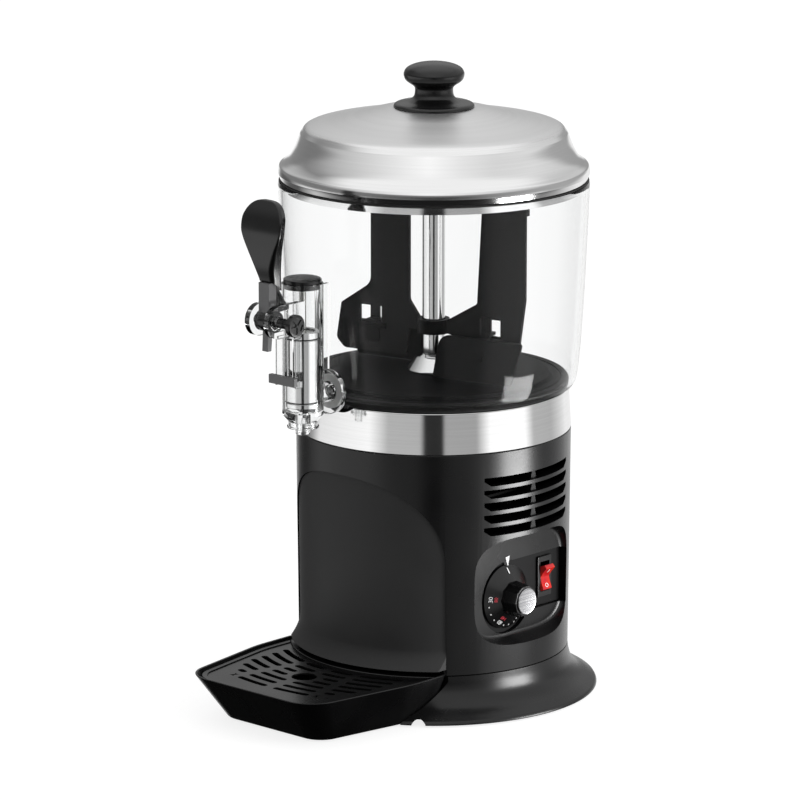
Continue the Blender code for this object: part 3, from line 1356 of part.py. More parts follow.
def make_bowl():
    outer = bowl_line()
    inner = offset(outer[:-1], -BOWL_WALL)
    floor_z = BOWL_LOW_Z + BOWL_WALL
    inner = [p for p in inner if p[1] > floor_z + WELD]
    inner[0] = (inner[0][0], BOWL_TOP_Z)
    profile = outer + [(BOWL_MOUTH_R, BOWL_LOW_Z), (BOWL_MOUTH_R, floor_z)]
    profile += [(BOWL_FOOT_R - BOWL_WALL, floor_z)] + list(reversed(inner))
    bowl = piece(turned(profile, BIG_SIDES), "bowl", CLEAR, bowl_lift)
    hole = rod(SPIGOT_R + SEAT_GAP, -(BOWL_TOP_R + CUT_OVER), -HOUSING_R / 2, SMALL_SIDES, (0, 0, SPIGOT_Z), "Y")
    apply_tool(bowl, tool(hole, "spigot_hole", bowl_lift))
    lug_y = -(BAND_TOP_R + EASY_GAP + LUG_THICK)
    for side in (-1, 1):
        x = side * LUG_X
        outline = [(x - LUG_WIDE / 2, BOWL_LOW_Z + EASY_GAP), (x, BOWL_LOW_Z - LUG_DROP),
                   (x + LUG_WIDE / 2, BOWL_LOW_Z + EASY_GAP)]
        lug = prism(outline, lug_y, lug_y + LUG_THICK, "Y")
        apply_tool(bowl, tool(lug, f"bowl_lug_{side + 2}", bowl_lift), "UNION")


def make_bowl_gasket():
    """The gasket that grips the bowl's mouth and seals on the hotplate's edge."""
    inner = PLATE_SKIRT_R + SEAT_GAP * 2
    web = BOWL_MOUTH_R - SEAT_GAP
    outer = BAND_TOP_R + EASY_GAP
    low = BAND_TOP_Z + SEAT_GAP
    lip_top = BOWL_LOW_Z - SEAT_GAP
    over = BOWL_LOW_Z + BOWL_WALL + SEAT_GAP
    top = over + GASKET_THICK
    profile = [
        (inner, low), (outer - EASY_GAP, low), (outer - EASY_GAP, lip_top), (web, lip_top), (web, over),
        (outer - EASY_GAP, over), (outer - EASY_GAP * 2, top), (inner, top),
    ]
    piece(turned(profile, BIG_SIDES), "bowl_gasket", RUBBER, bowl_lift)


def ear_outline():
    low = PIN_Z - EAR_R
    high = PIN_Z + EAR_R
    front = PIN_Y - EAR_R
    back = TAP_Y - BARREL_BORE_R / 2
    tight = EAR_R * EAR_INSIDE_SHARE
    return rounded([(back, low, 0), (back, high, 0), (front, high, tight), (front, low, tight)], 6)


def make_barrel():
    """The clear tap body: barrel, outlet, spigot and flange, the bar's guide and the lever's two ears."""
    centre = (0, TAP_Y, 0)
    lip_z = NECK_LOW_Z + NECK_LIP * 2
    neck_in = NECK_R - NECK_WALL
    neck_roof = BARREL_NECK_Z - NECK_LIP
    profile = [
        (0, TIP_LOW_Z), (TIP_R, TIP_LOW_Z), (TIP_R, neck_roof), (neck_in, neck_roof), (neck_in, NECK_LOW_Z),
        (NECK_R + NECK_LIP, NECK_LOW_Z), (NECK_R + NECK_LIP, lip_z), (NECK_R, lip_z), (NECK_R, BARREL_NECK_Z),
        (BARREL_R, BARREL_LOW_Z), (BARREL_R, BARREL_TOP_Z), (0, BARREL_TOP_Z),
    ]
    barrel = piece(turned(profile, MID_SIDES, centre), "tap_barrel", CLEAR, bowl_lift)
    back = TAP_Y + BARREL_BORE_R / 2
    spigot_end = -(radius_at(bowl_line(), SPIGOT_Z) - BOWL_WALL - RUN_GAP)
    flange_end = FLANGE_Y + FLANGE_THICK
    spigot = [
        (0, back), (SPIGOT_R, back), (SPIGOT_R, FLANGE_Y), (FLANGE_R, FLANGE_Y), (FLANGE_R, flange_end),
        (SPIGOT_R, flange_end), (SPIGOT_R, spigot_end), (0, spigot_end),
    ]
    apply_tool(barrel, tool(turned(spigot, SMALL_SIDES, (0, 0, SPIGOT_Z), "Y"), "spigot", bowl_lift), "UNION")
    fin = block((-FIN_HALF, FIN_HALF), (back, FIN_Y), (FIN_LOW_Z, FIN_TOP_Z))
    apply_tool(barrel, tool(fin, "back_fin", bowl_lift), "UNION")
    guides = []
    for side in (-1, 1):
        span = sorted((side * GUIDE_X, side * (GUIDE_X - GUIDE_WALL)))
        guides.append(block(span, (GUIDE_Y, TAP_Y), (GUIDE_LOW_Z, GUIDE_TOP_Z)))
    apply_tool(barrel, tool(combine(*guides), "bar_guides", bowl_lift), "UNION")
    ears = []
    for side in (-1, 1):
        span = sorted((side * EAR_X, side * (EAR_X + EAR_THICK)))
        ears.append(prism(ear_outline(), span[0], span[1], "X"))
    apply_tool(barrel, tool(combine(*ears), "lever_ears", bowl_lift), "UNION")
    bore = [
        (0, TIP_LOW_Z - CUT_OVER), (OUTLET_R, TIP_LOW_Z - CUT_OVER), (OUTLET_R, BARREL_LOW_Z),
        (BARREL_BORE_R, BARREL_FLOOR_Z), (BARREL_BORE_R, BARREL_TOP_Z + CUT_OVER), (0, BARREL_TOP_Z + CUT_OVER),
    ]
    apply_tool(barrel, tool(turned(bore, MID_SIDES, centre, "Z", True), "barrel_bore", bowl_lift))
    inlet_from = TAP_Y + BARREL_BORE_R / 3
    inlet_to = spigot_end + CUT_OVER
    inlet = [(0, inlet_from), (SPIGOT_BORE_R, inlet_from), (SPIGOT_BORE_R, inlet_to), (0, inlet_to)]
    inlet_tool = tool(turned(inlet, SMALL_SIDES, (0, 0, SPIGOT_Z), "Y", True), "spigot_bore", bowl_lift)
    apply_tool(barrel, inlet_tool)
    bar_slot = block((-GUIDE_SLOT_HALF, GUIDE_SLOT_HALF), (GUIDE_Y, TAP_Y),
                     (GUIDE_LOW_Z + EASY_GAP, GUIDE_TOP_Z - EASY_GAP))
    apply_tool(barrel, tool(bar_slot, "bar_slot", bowl_lift))
    drop = (TAP_Y - BARREL_R - PIN_Y) * math.tan(LEVER_SWING / 2) + LEVER_ARM_THICK / 2
    arm_half = LEVER_ARM_HALF + EASY_GAP
    low = PIN_Z - drop - EASY_GAP * 2
    high = PIN_Z + drop + EASY_GAP * 2
    arm_slot = block((-arm_half, arm_half), (TAP_Y - BARREL_R - EASY_GAP, TAP_Y - BARREL_BORE_R / 2), (low, high))
    apply_tool(barrel, tool(arm_slot, "arm_slot", bowl_lift))
    span = EAR_X + EAR_THICK + CUT_OVER
    pin_hole = rod(PIN_R + SEAT_GAP, -span, span, SMALL_SIDES, (0, PIN_Y, PIN_Z), "X")
    apply_tool(barrel, tool(pin_hole, "pin_hole", bowl_lift))


def make_tap_trim():
    """The tap's gasket, its black cap, the spring's guide rod and the lever pin."""
    bowl_r = radius_at(bowl_line(), SPIGOT_Z + GASKET_R)
    front = FLANGE_Y + FLANGE_THICK + SEAT_GAP
    back = -(bowl_r + SEAT_GAP)
    gasket = tube(GASKET_R, SPIGOT_R + SEAT_GAP, front, back, SMALL_SIDES, (0, 0, SPIGOT_Z), "Y")
    piece(gasket, "tap_gasket", RUBBER, bowl_lift)
    seat = BARREL_TOP_Z + SEAT_GAP
    plug_r = BARREL_BORE_R - SEAT_GAP
    dome = CROWN_HIGH / 3
    crown = [
        (0, seat - CROWN_PLUG), (plug_r, seat - CROWN_PLUG), (plug_r, seat), (CROWN_R, seat),
        (CROWN_R, seat + CROWN_HIGH - dome), (CROWN_R - dome, seat + CROWN_HIGH - dome / 3),
        (CROWN_R / 2, seat + CROWN_HIGH), (0, seat + CROWN_HIGH),
    ]
    piece(turned(crown, MID_SIDES, (0, TAP_Y, 0)), "tap_cap", TRIM_BLACK, bowl_lift)
    collar_top = COLLAR_Z + COLLAR_THICK
    rod_top = seat - CROWN_PLUG - SEAT_GAP
    guide = [(0, COLLAR_Z), (COLLAR_R, COLLAR_Z), (COLLAR_R, collar_top), (GUIDE_ROD_R, collar_top),
             (GUIDE_ROD_R, rod_top), (0, rod_top)]
    piece(turned(guide, SMALL_SIDES, (0, TAP_Y, 0)), "spring_guide", PLATED, bowl_lift)
    tail = -(EAR_X + EAR_THICK + PIN_TAIL)
    edge = PIN_HEAD_THICK / 5
    pin = [
        (0, tail), (PIN_R, tail), (PIN_R, PIN_HEAD_X), (PIN_HEAD_R - edge, PIN_HEAD_X), (PIN_HEAD_R, PIN_HEAD_X + edge),
        (PIN_HEAD_R, PIN_HEAD_X + PIN_HEAD_THICK - edge), (PIN_HEAD_R - edge, PIN_HEAD_X + PIN_HEAD_THICK),
        (0, PIN_HEAD_X + PIN_HEAD_THICK),
    ]
    piece(turned(pin, SMALL_SIDES, (0, PIN_Y, PIN_Z), "X"), "lever_pin", TRIM_BLACK, bowl_lift)


TIP_DROP = LEVER_ARM * math.sin(LEVER_SWING / 2)
TIP_Y = PIN_Y + LEVER_ARM * math.cos(LEVER_SWING / 2)
TIP_Z = PIN_Z - TIP_DROP


def make_piston():
    """The steel piston that shuts the spigot. The lever's tip lifts it by the horn at its front."""
    centre = (0, TAP_Y, 0)
    groove = SEAL_R * SEAL_GROOVE_SHARE
    deep = PISTON_R - SEAL_R
    edge = SEAL_R
    profile = [(0, PISTON_LOW_Z), (PISTON_R - edge, PISTON_LOW_Z), (PISTON_R, PISTON_LOW_Z + edge)]
    for z in (SEAL_LOW_Z, SEAL_TOP_Z):
        profile += [(PISTON_R, z - groove), (deep, z - groove), (deep, z + groove), (PISTON_R, z + groove)]
    profile += [(PISTON_R, PISTON_TOP_Z), (PISTON_BORE_R, PISTON_TOP_Z), (PISTON_BORE_R, PISTON_FLOOR_Z),
                (0, PISTON_FLOOR_Z)]
    piston = piece(turned(profile, MID_SIDES, centre), "tap_piston", STEEL, piston_slide)
    horn_front = TAP_Y - PISTON_R
    horn = block((-HORN_HALF, HORN_HALF), (horn_front - CUT_OVER, horn_front + HORN_THICK),
                 (PISTON_TOP_Z - BAR_HIGH / 2, HORN_TOP_Z))
    reach = rod(PISTON_R - SEAT_GAP, PISTON_LOW_Z, HORN_TOP_Z + CUT_OVER, MID_SIDES, centre)
    horn_tool = tool(horn, "piston_horn", piston_slide)
    apply_tool(horn_tool, tool(reach, "horn_reach", piston_slide), "INTERSECT")
    apply_tool(piston, horn_tool, "UNION")
    tip_gap = LEVER_TIP_R + RUN_GAP
    half = LEVER_ARM_HALF + EASY_GAP
    slot = block((-half, half), (horn_front - CUT_OVER, horn_front + HORN_THICK + CUT_OVER),
                 (TIP_Z - tip_gap, TIP_Z + tip_gap))
    apply_tool(piston, tool(slot, "horn_slot", piston_slide))
    round_r = SEAL_R / 2
    mean = PISTON_R - SEAL_R + SEAT_GAP + round_r
    sides = 4
    for name, z in (("lower_seal", SEAL_LOW_Z), ("upper_seal", SEAL_TOP_Z)):
        turns = [math.tau * k / sides for k in range(sides)]
        ring = [(mean + round_r * math.cos(t), z + round_r * math.sin(t)) for t in turns]
        piece(turned(ring, MID_SIDES, centre), name, RUBBER, piston_slide)


def make_bar():
    """The black bar that rides in the guide at the front of the piston."""
    web_back = TAP_Y - PISTON_R - SEAT_GAP
    high = BAR_LOW_Z + BAR_HIGH
    outline = rounded_box(BAR_HALF, BAR_DEEP / 2, BAR_DEEP / 5, 2, (0, BAR_Y - BAR_DEEP / 2))
    bar = piece(prism(outline, BAR_LOW_Z, high), "piston_bar", TRIM_BLACK, piston_slide)
    third = BAR_HIGH / 4
    web = block((-BAR_WEB_HALF, BAR_WEB_HALF), (BAR_Y - BAR_DEEP / 2, web_back), (BAR_LOW_Z + third, high - third))
    apply_tool(bar, tool(web, "bar_web", piston_slide), "UNION")


def make_spring():
    """The spring inside the piston, pressed between its floor and the fixed collar."""
    low = PISTON_FLOOR_Z + SEAT_GAP + SPRING_WIRE_R
    high = COLLAR_Z - SEAT_GAP - SPRING_WIRE_R
    count = SPRING_TURNS * SPRING_POINTS
    points = []
    for k in range(count + 1):
        turn = math.tau * k / SPRING_POINTS
        points.append((SPRING_R * math.cos(turn), TAP_Y + SPRING_R * math.sin(turn), low + (high - low) * k / count))
    pitch = (high - low) / SPRING_TURNS
    print("tap spring: least gap between its turns", round((pitch - 2 * SPRING_WIRE_R) * 1000, 2), "mm")
    wire(points, SPRING_WIRE_R, "tap_spring", PLATED, bowl_lift, 0)


def make_lever():
    """The lever: a hub between the ears, a stem for the handle, a tail and the arm that lifts the piston."""
    place = (0, PIN_Y, PIN_Z)
    bore = PIN_R + SEAT_GAP
    hub = tube(LEVER_HUB_R, bore, -LEVER_HUB_HALF, LEVER_HUB_HALF, SMALL_SIDES, place, "X")
    lever = piece(hub, "lever_arm", GREY, lever_axis)
    stem_low = PIN_Z + bore + STEM_WALL / 2
    stem = [
        (STEM_FRONT_Y, stem_low), (STEM_BACK_Y, stem_low), (STEM_BACK_Y, STEM_TOP_Z), (STEM_FRONT_Y, STEM_TOP_Z),
    ]
    apply_tool(lever, tool(prism(stem, -STEM_HALF, STEM_HALF, "X"), "lever_stem", lever_axis), "UNION")
    tail_y = PIN_Y - TAIL_THICK / 2
    tail = [
        (tail_y - EASY_GAP, TAIL_LOW_Z), (tail_y + TAIL_THICK * TAIL_TIP_SHARE, TAIL_LOW_Z), (tail_y + TAIL_THICK, PIN_Z - bore),
        (tail_y, PIN_Z - bore),
    ]
    apply_tool(lever, tool(prism(tail, -TAIL_HALF, TAIL_HALF, "X"), "lever_tail", lever_axis), "UNION")
    half = LEVER_ARM_THICK / 2
    arm_root = bore + STEM_WALL / 2
    arm = block((-LEVER_ARM_HALF, LEVER_ARM_HALF), (arm_root, LEVER_ARM), (-half, half))
    tip = rod(LEVER_TIP_R, -LEVER_ARM_HALF, LEVER_ARM_HALF, SMALL_SIDES, (0, LEVER_ARM, 0), "X")
    for shape, name in ((arm, "inner_arm"), (tip, "arm_tip")):
        shape.transform(Matrix.Rotation(-LEVER_SWING / 2, 4, "X"))
        shape.transform(Matrix.Translation(place))
        apply_tool(lever, tool(shape, name, lever_axis), "UNION")
    pocket_y = (STEM_FRONT_Y + STEM_WALL, STEM_BACK_Y + CUT_OVER)
    pocket_half = STEM_HALF - STEM_WALL
    pocket = block((-pocket_half, pocket_half), pocket_y, (stem_low + HANDLE_THICK, STEM_TOP_Z - STEM_WALL))
    apply_tool(lever, tool(pocket, "stem_pocket", lever_axis))


def make_handle():
    """The spoon-shaped grip, widest near its top and leaning back there."""
    rings = []
    span = HANDLE_TOP_Z - HANDLE_LOW_Z
    for high, wide, thick, lean in HANDLE_SHARE:
        z = HANDLE_LOW_Z + span * high
        half_x = HANDLE_HALF * wide
        half_y = HANDLE_THICK * thick / 2
        y = HANDLE_FACE_Y + HANDLE_LEAN * lean + HANDLE_THICK / 2
        ring = [(a, b, z) for a, b in oval(half_x, half_y, 2.5, HANDLE_SIDES, (0, y))]
        rings.append(ring)
    piece(skin(rings), "tap_handle", TRIM_BLACK, lever_axis)


def lid_line():
    """The lid's outer line, from the knob's seat out over the shoulder and down the brim."""
    dome_wide = LID_SHOULDER_R - LID_KNOB_SEAT_R
    dome_high = LID_TOP_Z - LID_SHOULDER_Z
    line = [(LID_KNOB_SEAT_R + dome_wide * out, LID_SHOULDER_Z + dome_high * up) for out, up in LID_DOME_SHARE]
    line += [(LID_SHOULDER_R, LID_SHOULDER_Z), (LID_CONE_R - EASY_GAP, (LID_SHOULDER_Z + LID_CONE_Z) / 2)]
    brim_wide = BOWL_TOP_R - LID_CONE_R
    brim_high = LID_CONE_Z - LID_LOW_Z
    line += [(LID_CONE_R + brim_wide * out, LID_LOW_Z + brim_high * up) for out, up in LID_CONE_SHARE]
    return line + [(BOWL_TOP_R, LID_LOW_Z)]


def make_lid():
    outer = lid_line()
    inner = offset(outer, -LID_SHEET)
    inner = [p for i, p in enumerate(inner) if i not in LID_INNER_SKIPS]
    inner[-1] = (inner[-1][0], LID_LOW_Z)
    under = LID_TOP_Z - LID_SHEET
    inner[0] = (inner[0][0], under)
    profile = [(LID_HOLE_R, LID_TOP_Z)] + outer + list(reversed(inner)) + [(LID_HOLE_R, under)]
    piece(turned(profile, BIG_SIDES), "lid", STEEL, lid_lift)
    rim_in = BOWL_TOP_R - LID_SHEET * 2 - SEAT_GAP
    ring_in = RING_R - RING_SHEET
    top = LID_LOW_Z + RING_SHEET
    ring = [(ring_in, RING_LOW_Z), (RING_R, RING_LOW_Z), (RING_R, LID_LOW_Z), (rim_in, LID_LOW_Z), (rim_in, top),
            (ring_in, top)]
    piece(turned(ring, BIG_SIDES), "lid_ring", STEEL, lid_lift)
    seal_low = BOWL_TOP_Z + SEAT_GAP
    seal = [(RING_R + SEAT_GAP, seal_low), (BOWL_TOP_R - LID_SHEET, seal_low),
            (BOWL_TOP_R - LID_SHEET, seal_low + LID_SEAL_HIGH), (RING_R + SEAT_GAP, seal_low + LID_SEAL_HIGH)]
    piece(turned(seal, BIG_SIDES), "lid_seal", RUBBER, lid_lift)


def make_lid_knob():
    low = LID_TOP_Z + SEAT_GAP
    bore = LID_HOLE_R - LID_SHEET
    depth = low + KNOB_HIGH / 3
    profile = [(bore, low)]
    profile += [(KNOB_SKIRT_R * wide, low + KNOB_HIGH * high) for high, wide in KNOB_SHARE]
    profile += [(0, low + KNOB_HIGH), (0, depth), (bore, depth)]
    piece(turned(profile, MID_SIDES), "lid_knob", TRIM_BLACK, lid_lift)
    screw_r = bore - SEAT_GAP
    head_top = LID_TOP_Z - LID_SHEET - SEAT_GAP
    head_low = head_top - SCREW_HEAD_HIGH
    screw = [(0, head_low), (LID_HOLE_R * 2, head_low), (LID_HOLE_R * 2, head_top), (screw_r, head_top),
             (screw_r, depth - SEAT_GAP), (0, depth - SEAT_GAP)]
    piece(turned(screw, SMALL_SIDES), "knob_screw", PLATED, lid_lift)


def stir_place(bm):
    """Turns a shape from the stirrer's own plane to its place at rest."""
    bm.transform(Matrix.Rotation(STIR_ANGLE, 4, "Z"))
    return bm


def make_stirrer():
    """The one-piece stirrer: a hub on the shaft's square, a cross bar, two paddles and a ring on the column."""
    half = STIR_THICK / 2
    bar_low = STIR_TOP_Z - STIR_BAR_HIGH
    paddle_top = STIR_TOP_Z - STIR_THICK
    web_low = STIR_RING_LOW_Z + STIR_THICK / 4
    web_top = STIR_RING_TOP_Z - STIR_THICK / 4
    web_in = STIR_RING_R - STIR_THICK / 4
    hub_low = COLUMN_TOP_Z + EASY_GAP + SEAT_GAP
    hub = rod(STIR_HUB_R, hub_low, hub_low + STIR_HUB_HIGH, MID_SIDES)
    stirrer = piece(stir_place(hub), "stirrer", TRIM_BLACK, stirrer_lift)
    waist = STIR_LEFT * LEFT_OUT_SHARE[0]
    left_in = COLUMN_R + STIR_RING_R
    bend_z = STIR_RING_TOP_Z + STIR_RING_R
    flare_z = STIR_RING_TOP_Z + STIR_THICK * STIR_FLARE_SHARE
    mid_z = (STIR_LOW_Z + STIR_RING_LOW_Z) / 2 - STIR_THICK
    left = rounded([
        (-left_in, paddle_top, 0), (-waist, paddle_top, 0), (-waist, bend_z + STIR_BAR_HIGH, STIR_BAR_HIGH),
        (-STIR_LEFT * LEFT_OUT_SHARE[1], flare_z, STIR_THICK), (-STIR_LEFT, mid_z, STIR_RING_R / 2),
        (-STIR_LEFT * LEFT_OUT_SHARE[3], STIR_LOW_Z, STIR_RING_R / 2), (-left_in - STIR_THICK, STIR_LOW_Z, STIR_THICK),
        (-left_in, web_low, 0), (-web_in, web_low, 0), (-web_in, web_top, 0), (-left_in, bend_z, STIR_RING_R / 2),
    ], 3)
    in_top, in_mid, in_ring = (STIR_RIGHT * s for s in RIGHT_IN_SHARE)
    right_low_z = STIR_RING_LOW_Z - STIR_THICK * STIR_DROP_SHARE
    right = rounded([
        (in_top, paddle_top, 0), (in_mid, bend_z + STIR_THICK, STIR_THICK), (web_in, web_top, 0), (web_in, web_low, 0),
        (in_mid, right_low_z, STIR_THICK), (STIR_RIGHT - STIR_THICK * STIR_CORNER_SHARE, right_low_z, STIR_THICK),
        (STIR_RIGHT, bend_z + STIR_BAR_HIGH, STIR_BAR_HIGH), (STIR_RIGHT, paddle_top, 0),
    ], 3)
    bar_left = -waist - half
    bar_right = STIR_RIGHT + half
    bar = [(bar_left, bar_low), (bar_right, bar_low), (bar_right, STIR_TOP_Z), (bar_left, STIR_TOP_Z)]
    shapes = (
        (prism(left, -half, half, "Y"), "left_paddle"), (prism(right, -half, half, "Y"), "right_paddle"),
        (prism(bar, -STIR_THICK, STIR_THICK, "Y"), "cross_bar"),
        (rod(STIR_RING_R, STIR_RING_LOW_Z, STIR_RING_TOP_Z, MID_SIDES), "column_ring"),
    )
    for shape, name in shapes:
        apply_tool(stirrer, tool(stir_place(shape), name, stirrer_lift), "UNION")
    ring_bore = rod(STIR_RING_BORE_R, STIR_RING_LOW_Z - CUT_OVER, STIR_RING_TOP_Z + CUT_OVER, MID_SIDES)
    apply_tool(stirrer, tool(ring_bore, "ring_bore", stirrer_lift))
    square = SHAFT_SQUARE / 2 + SEAT_GAP
    socket = block((-square, square), (-square, square), (hub_low - CUT_OVER, SHAFT_TIP_Z + SEAT_GAP))
    apply_tool(stirrer, tool(socket, "square_socket", stirrer_lift))
    windows = []
    for low, high in (RIGHT_WINDOW, LEFT_WINDOW):
        windows.append(block((low, high), (-STIR_THICK, STIR_THICK), (STIR_WINDOW_LOW_Z, STIR_WINDOW_TOP_Z)))
    apply_tool(stirrer, tool(stir_place(combine(*windows)), "paddle_windows", stirrer_lift))


def make_scraper(name, tongue_at, side):
    """A scraper blade that hangs from its paddle's window by a tongue. Side 1 is the right paddle's."""
    lean = (BLADE_LOW_OFF - BLADE_TOP_OFF) / (BLADE_TOP_Z - BLADE_LOW_Z)
    corner = BLADE_THICK * 3
    outline = rounded([
        (BLADE_IN, BLADE_LOW_Z, BLADE_THICK), (BLADE_OUT - corner / 2, BLADE_LOW_Z, BLADE_THICK),
        (BLADE_OUT, BLADE_TOP_Z, BLADE_THICK), (BLADE_IN, BLADE_TOP_Z, corner),
    ], 3)
    rings = []
    for off in (0, BLADE_THICK):
        rings.append([(x, -(BLADE_LOW_OFF - lean * (z - BLADE_LOW_Z)) - off, z) for x, z in outline])
    bm = skin(rings)
    gap = STIR_THICK / 2 + SEAT_GAP
    low_z = BLADE_LOW_Z + (BLADE_TOP_Z - BLADE_LOW_Z) / 2
    low_off = BLADE_LOW_OFF - lean * (low_z - BLADE_LOW_Z)
    hook_z = STIR_WINDOW_LOW_Z + TONGUE_THICK
    tongue_line = [
        (-gap, TONGUE_TOP_Z), (-gap - TONGUE_THICK, TONGUE_TOP_Z), (-gap - TONGUE_THICK, BLADE_TOP_Z + BLADE_THICK * 2),
        (-low_off - BLADE_THICK - TONGUE_THICK, low_z), (-low_off - BLADE_THICK / 2, low_z),
        (-BLADE_TOP_OFF - BLADE_THICK / 2, BLADE_TOP_Z - BLADE_THICK), (-gap, BLADE_TOP_Z + BLADE_THICK / 2),
    ]
    at = abs(tongue_at)
    tongue = prism(tongue_line, at - TONGUE_WIDE / 2, at + TONGUE_WIDE / 2, "X")
    hook = block((at - TONGUE_WIDE / 2, at + TONGUE_WIDE / 2), (-gap - TONGUE_THICK / 2, gap + TONGUE_THICK),
                 (hook_z, hook_z + TONGUE_THICK))
    turn = 0 if side > 0 else math.pi
    shapes = (bm, tongue, hook)
    for shape in shapes:
        shape.transform(Matrix.Rotation(turn, 4, "Z"))
        stir_place(shape)
    blade = piece(shapes[0], name, TRIM_BLACK, stirrer_lift)
    apply_tool(blade, tool(shapes[1], f"{name}_tongue", stirrer_lift), "UNION")
    apply_tool(blade, tool(shapes[2], f"{name}_hook", stirrer_lift), "UNION")


make_base_ring()
make_base_plate()
make_feet()
make_base_screws()
make_housing()
make_front_cover()
make_control_panel()
make_dial()
make_thermostat()
make_switch()
make_rocker()
make_band()
make_hotplate()
make_column()
make_element()
make_shield()
make_cutout()
make_shaft()
make_bushes()
make_bracket()
make_motor()
make_terminals()
make_inlet()
make_tray()
make_grid()
make_bowl()
make_bowl_gasket()
make_barrel()
make_tap_trim()
make_piston()
make_bar()
make_spring()
make_lever()
make_handle()
make_lid()
make_lid_knob()
make_stirrer()
make_scraper("scraper_front", TONGUE_AT, 1)
make_scraper("scraper_rear", CLIP_AT, -1)
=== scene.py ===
# %% [markdown]
# # A hot chocolate dispenser
#
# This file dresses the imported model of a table-top chocolate dispenser. The clear bowl stands on a heated plate, a
# geared motor turns the stirrer, a lever tap lets the chocolate out over a drip tray, and a dial and a switch sit in
# a scoop at the side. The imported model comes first, because every new piece moves with one of its bodies.

import math
from functools import partial

import bmesh
import bpy
from mathutils import Matrix, Vector


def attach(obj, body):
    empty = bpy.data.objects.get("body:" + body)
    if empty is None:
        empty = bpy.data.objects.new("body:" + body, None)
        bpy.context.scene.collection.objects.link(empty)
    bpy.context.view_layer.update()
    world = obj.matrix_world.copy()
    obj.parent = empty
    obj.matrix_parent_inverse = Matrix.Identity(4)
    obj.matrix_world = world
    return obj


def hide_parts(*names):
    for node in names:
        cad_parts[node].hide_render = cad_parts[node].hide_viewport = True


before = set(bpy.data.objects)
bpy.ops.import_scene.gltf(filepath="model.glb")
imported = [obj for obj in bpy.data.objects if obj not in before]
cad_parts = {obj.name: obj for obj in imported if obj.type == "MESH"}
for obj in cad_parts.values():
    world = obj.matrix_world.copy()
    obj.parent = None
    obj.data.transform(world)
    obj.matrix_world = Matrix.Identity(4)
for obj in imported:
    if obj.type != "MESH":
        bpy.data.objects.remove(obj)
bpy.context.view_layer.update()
AXIS_Y = 0.0414

# %% [markdown]
# ## The camera
#
# A small object photographed with a long lens keeps its verticals nearly straight. The camera stands four metres
# away, a little above the bowl's rim, and looks down on the machine from its front right.

# %% Set the camera
VIEW_TURN = math.radians(42.5)
VIEW_AWAY = 4.011
VIEW_HIGH = 1.172
VIEW_DOWN = math.radians(13.2)
VIEW_ASIDE = math.radians(0.38)
LENS = 234.0


def placed(name, data):
    """A new object in the scene."""
    obj = bpy.data.objects.new(name, data)
    bpy.context.scene.collection.objects.link(obj)
    return obj


lens = bpy.data.cameras.new("view")
lens.lens = LENS
lens.clip_end = 50.0
camera = placed("view", lens)
camera.location = (VIEW_AWAY * math.sin(VIEW_TURN), AXIS_Y - VIEW_AWAY * math.cos(VIEW_TURN), VIEW_HIGH)
camera.rotation_euler = (math.pi / 2 - VIEW_DOWN, 0, VIEW_TURN + VIEW_ASIDE)
bpy.context.scene.camera = camera
print("camera at", tuple(round(v, 3) for v in camera.location))

# %% [markdown]
# ## Helpers for shapes
#
# Most of the machine is turned or moulded. A turned piece is a profile spun round an axis, and a moulded one is an
# outline pulled straight or a skin drawn from ring to ring. Every place is measured from the machine's upright axis,
# and the whole mesh is moved to the axis's place at the end.

# %% Spin and pull
ROUND = 128
WELD = 0.000002


def lay(bm, axis):
    """Turns a shape that stands on Z so that its axis is X or Y."""
    if axis == "X":
        bm.transform(Matrix(((0, 0, 1), (1, 0, 0), (0, 1, 0))).to_4x4())
    if axis == "Y":
        bm.transform(Matrix(((0, 1, 0), (0, 0, 1), (1, 0, 0))).to_4x4())
    return bm


def spun(profile, sides=ROUND, centre=(0, 0, 0), axis="Z", half_step=False):
    """A turned shape from its (radius, height) profile."""
    bm = bmesh.new()
    verts = [bm.verts.new((r, 0, z)) for r, z in profile]
    edges = [bm.edges.new(pair) for pair in zip(verts, verts[1:])]
    if profile[0][0] > 0 or profile[-1][0] > 0:
        edges.append(bm.edges.new((verts[-1], verts[0])))
    bmesh.ops.spin(
        bm, geom=verts + edges, cent=(0, 0, 0), axis=(0, 0, 1), angle=math.tau, steps=sides, use_merge=True)
    bmesh.ops.remove_doubles(bm, verts=bm.verts, dist=WELD)
    if half_step:
        bm.transform(Matrix.Rotation(math.pi / sides, 4, "Z"))
    lay(bm, axis)
    bmesh.ops.translate(bm, verts=bm.verts, vec=centre)
    bmesh.ops.recalc_face_normals(bm, faces=bm.faces)
    return bm


def rod(radius, low, high, sides, centre=(0, 0, 0), axis="Z", half_step=False):
    """A plain round bar from one height to another along an axis."""
    return spun([(0, low), (radius, low), (radius, high), (0, high)], sides, centre, axis, half_step)


def pulled(outline, low, high, axis="Z"):
    """A flat outline pulled from one height to another along an axis."""
    bm = bmesh.new()
    face = bm.faces.new([bm.verts.new((a, b, low)) for a, b in outline])
    grown = bmesh.ops.extrude_face_region(bm, geom=[face])
    top = [v for v in grown["geom"] if isinstance(v, bmesh.types.BMVert)]
    bmesh.ops.translate(bm, verts=top, vec=(0, 0, high - low))
    bmesh.ops.recalc_face_normals(bm, faces=bm.faces)
    return lay(bm, axis)


def along_y(outline, low, high):
    """An outline seen from the front, pulled along Y."""
    return pulled([(b, a) for a, b in outline], low, high, "Y")


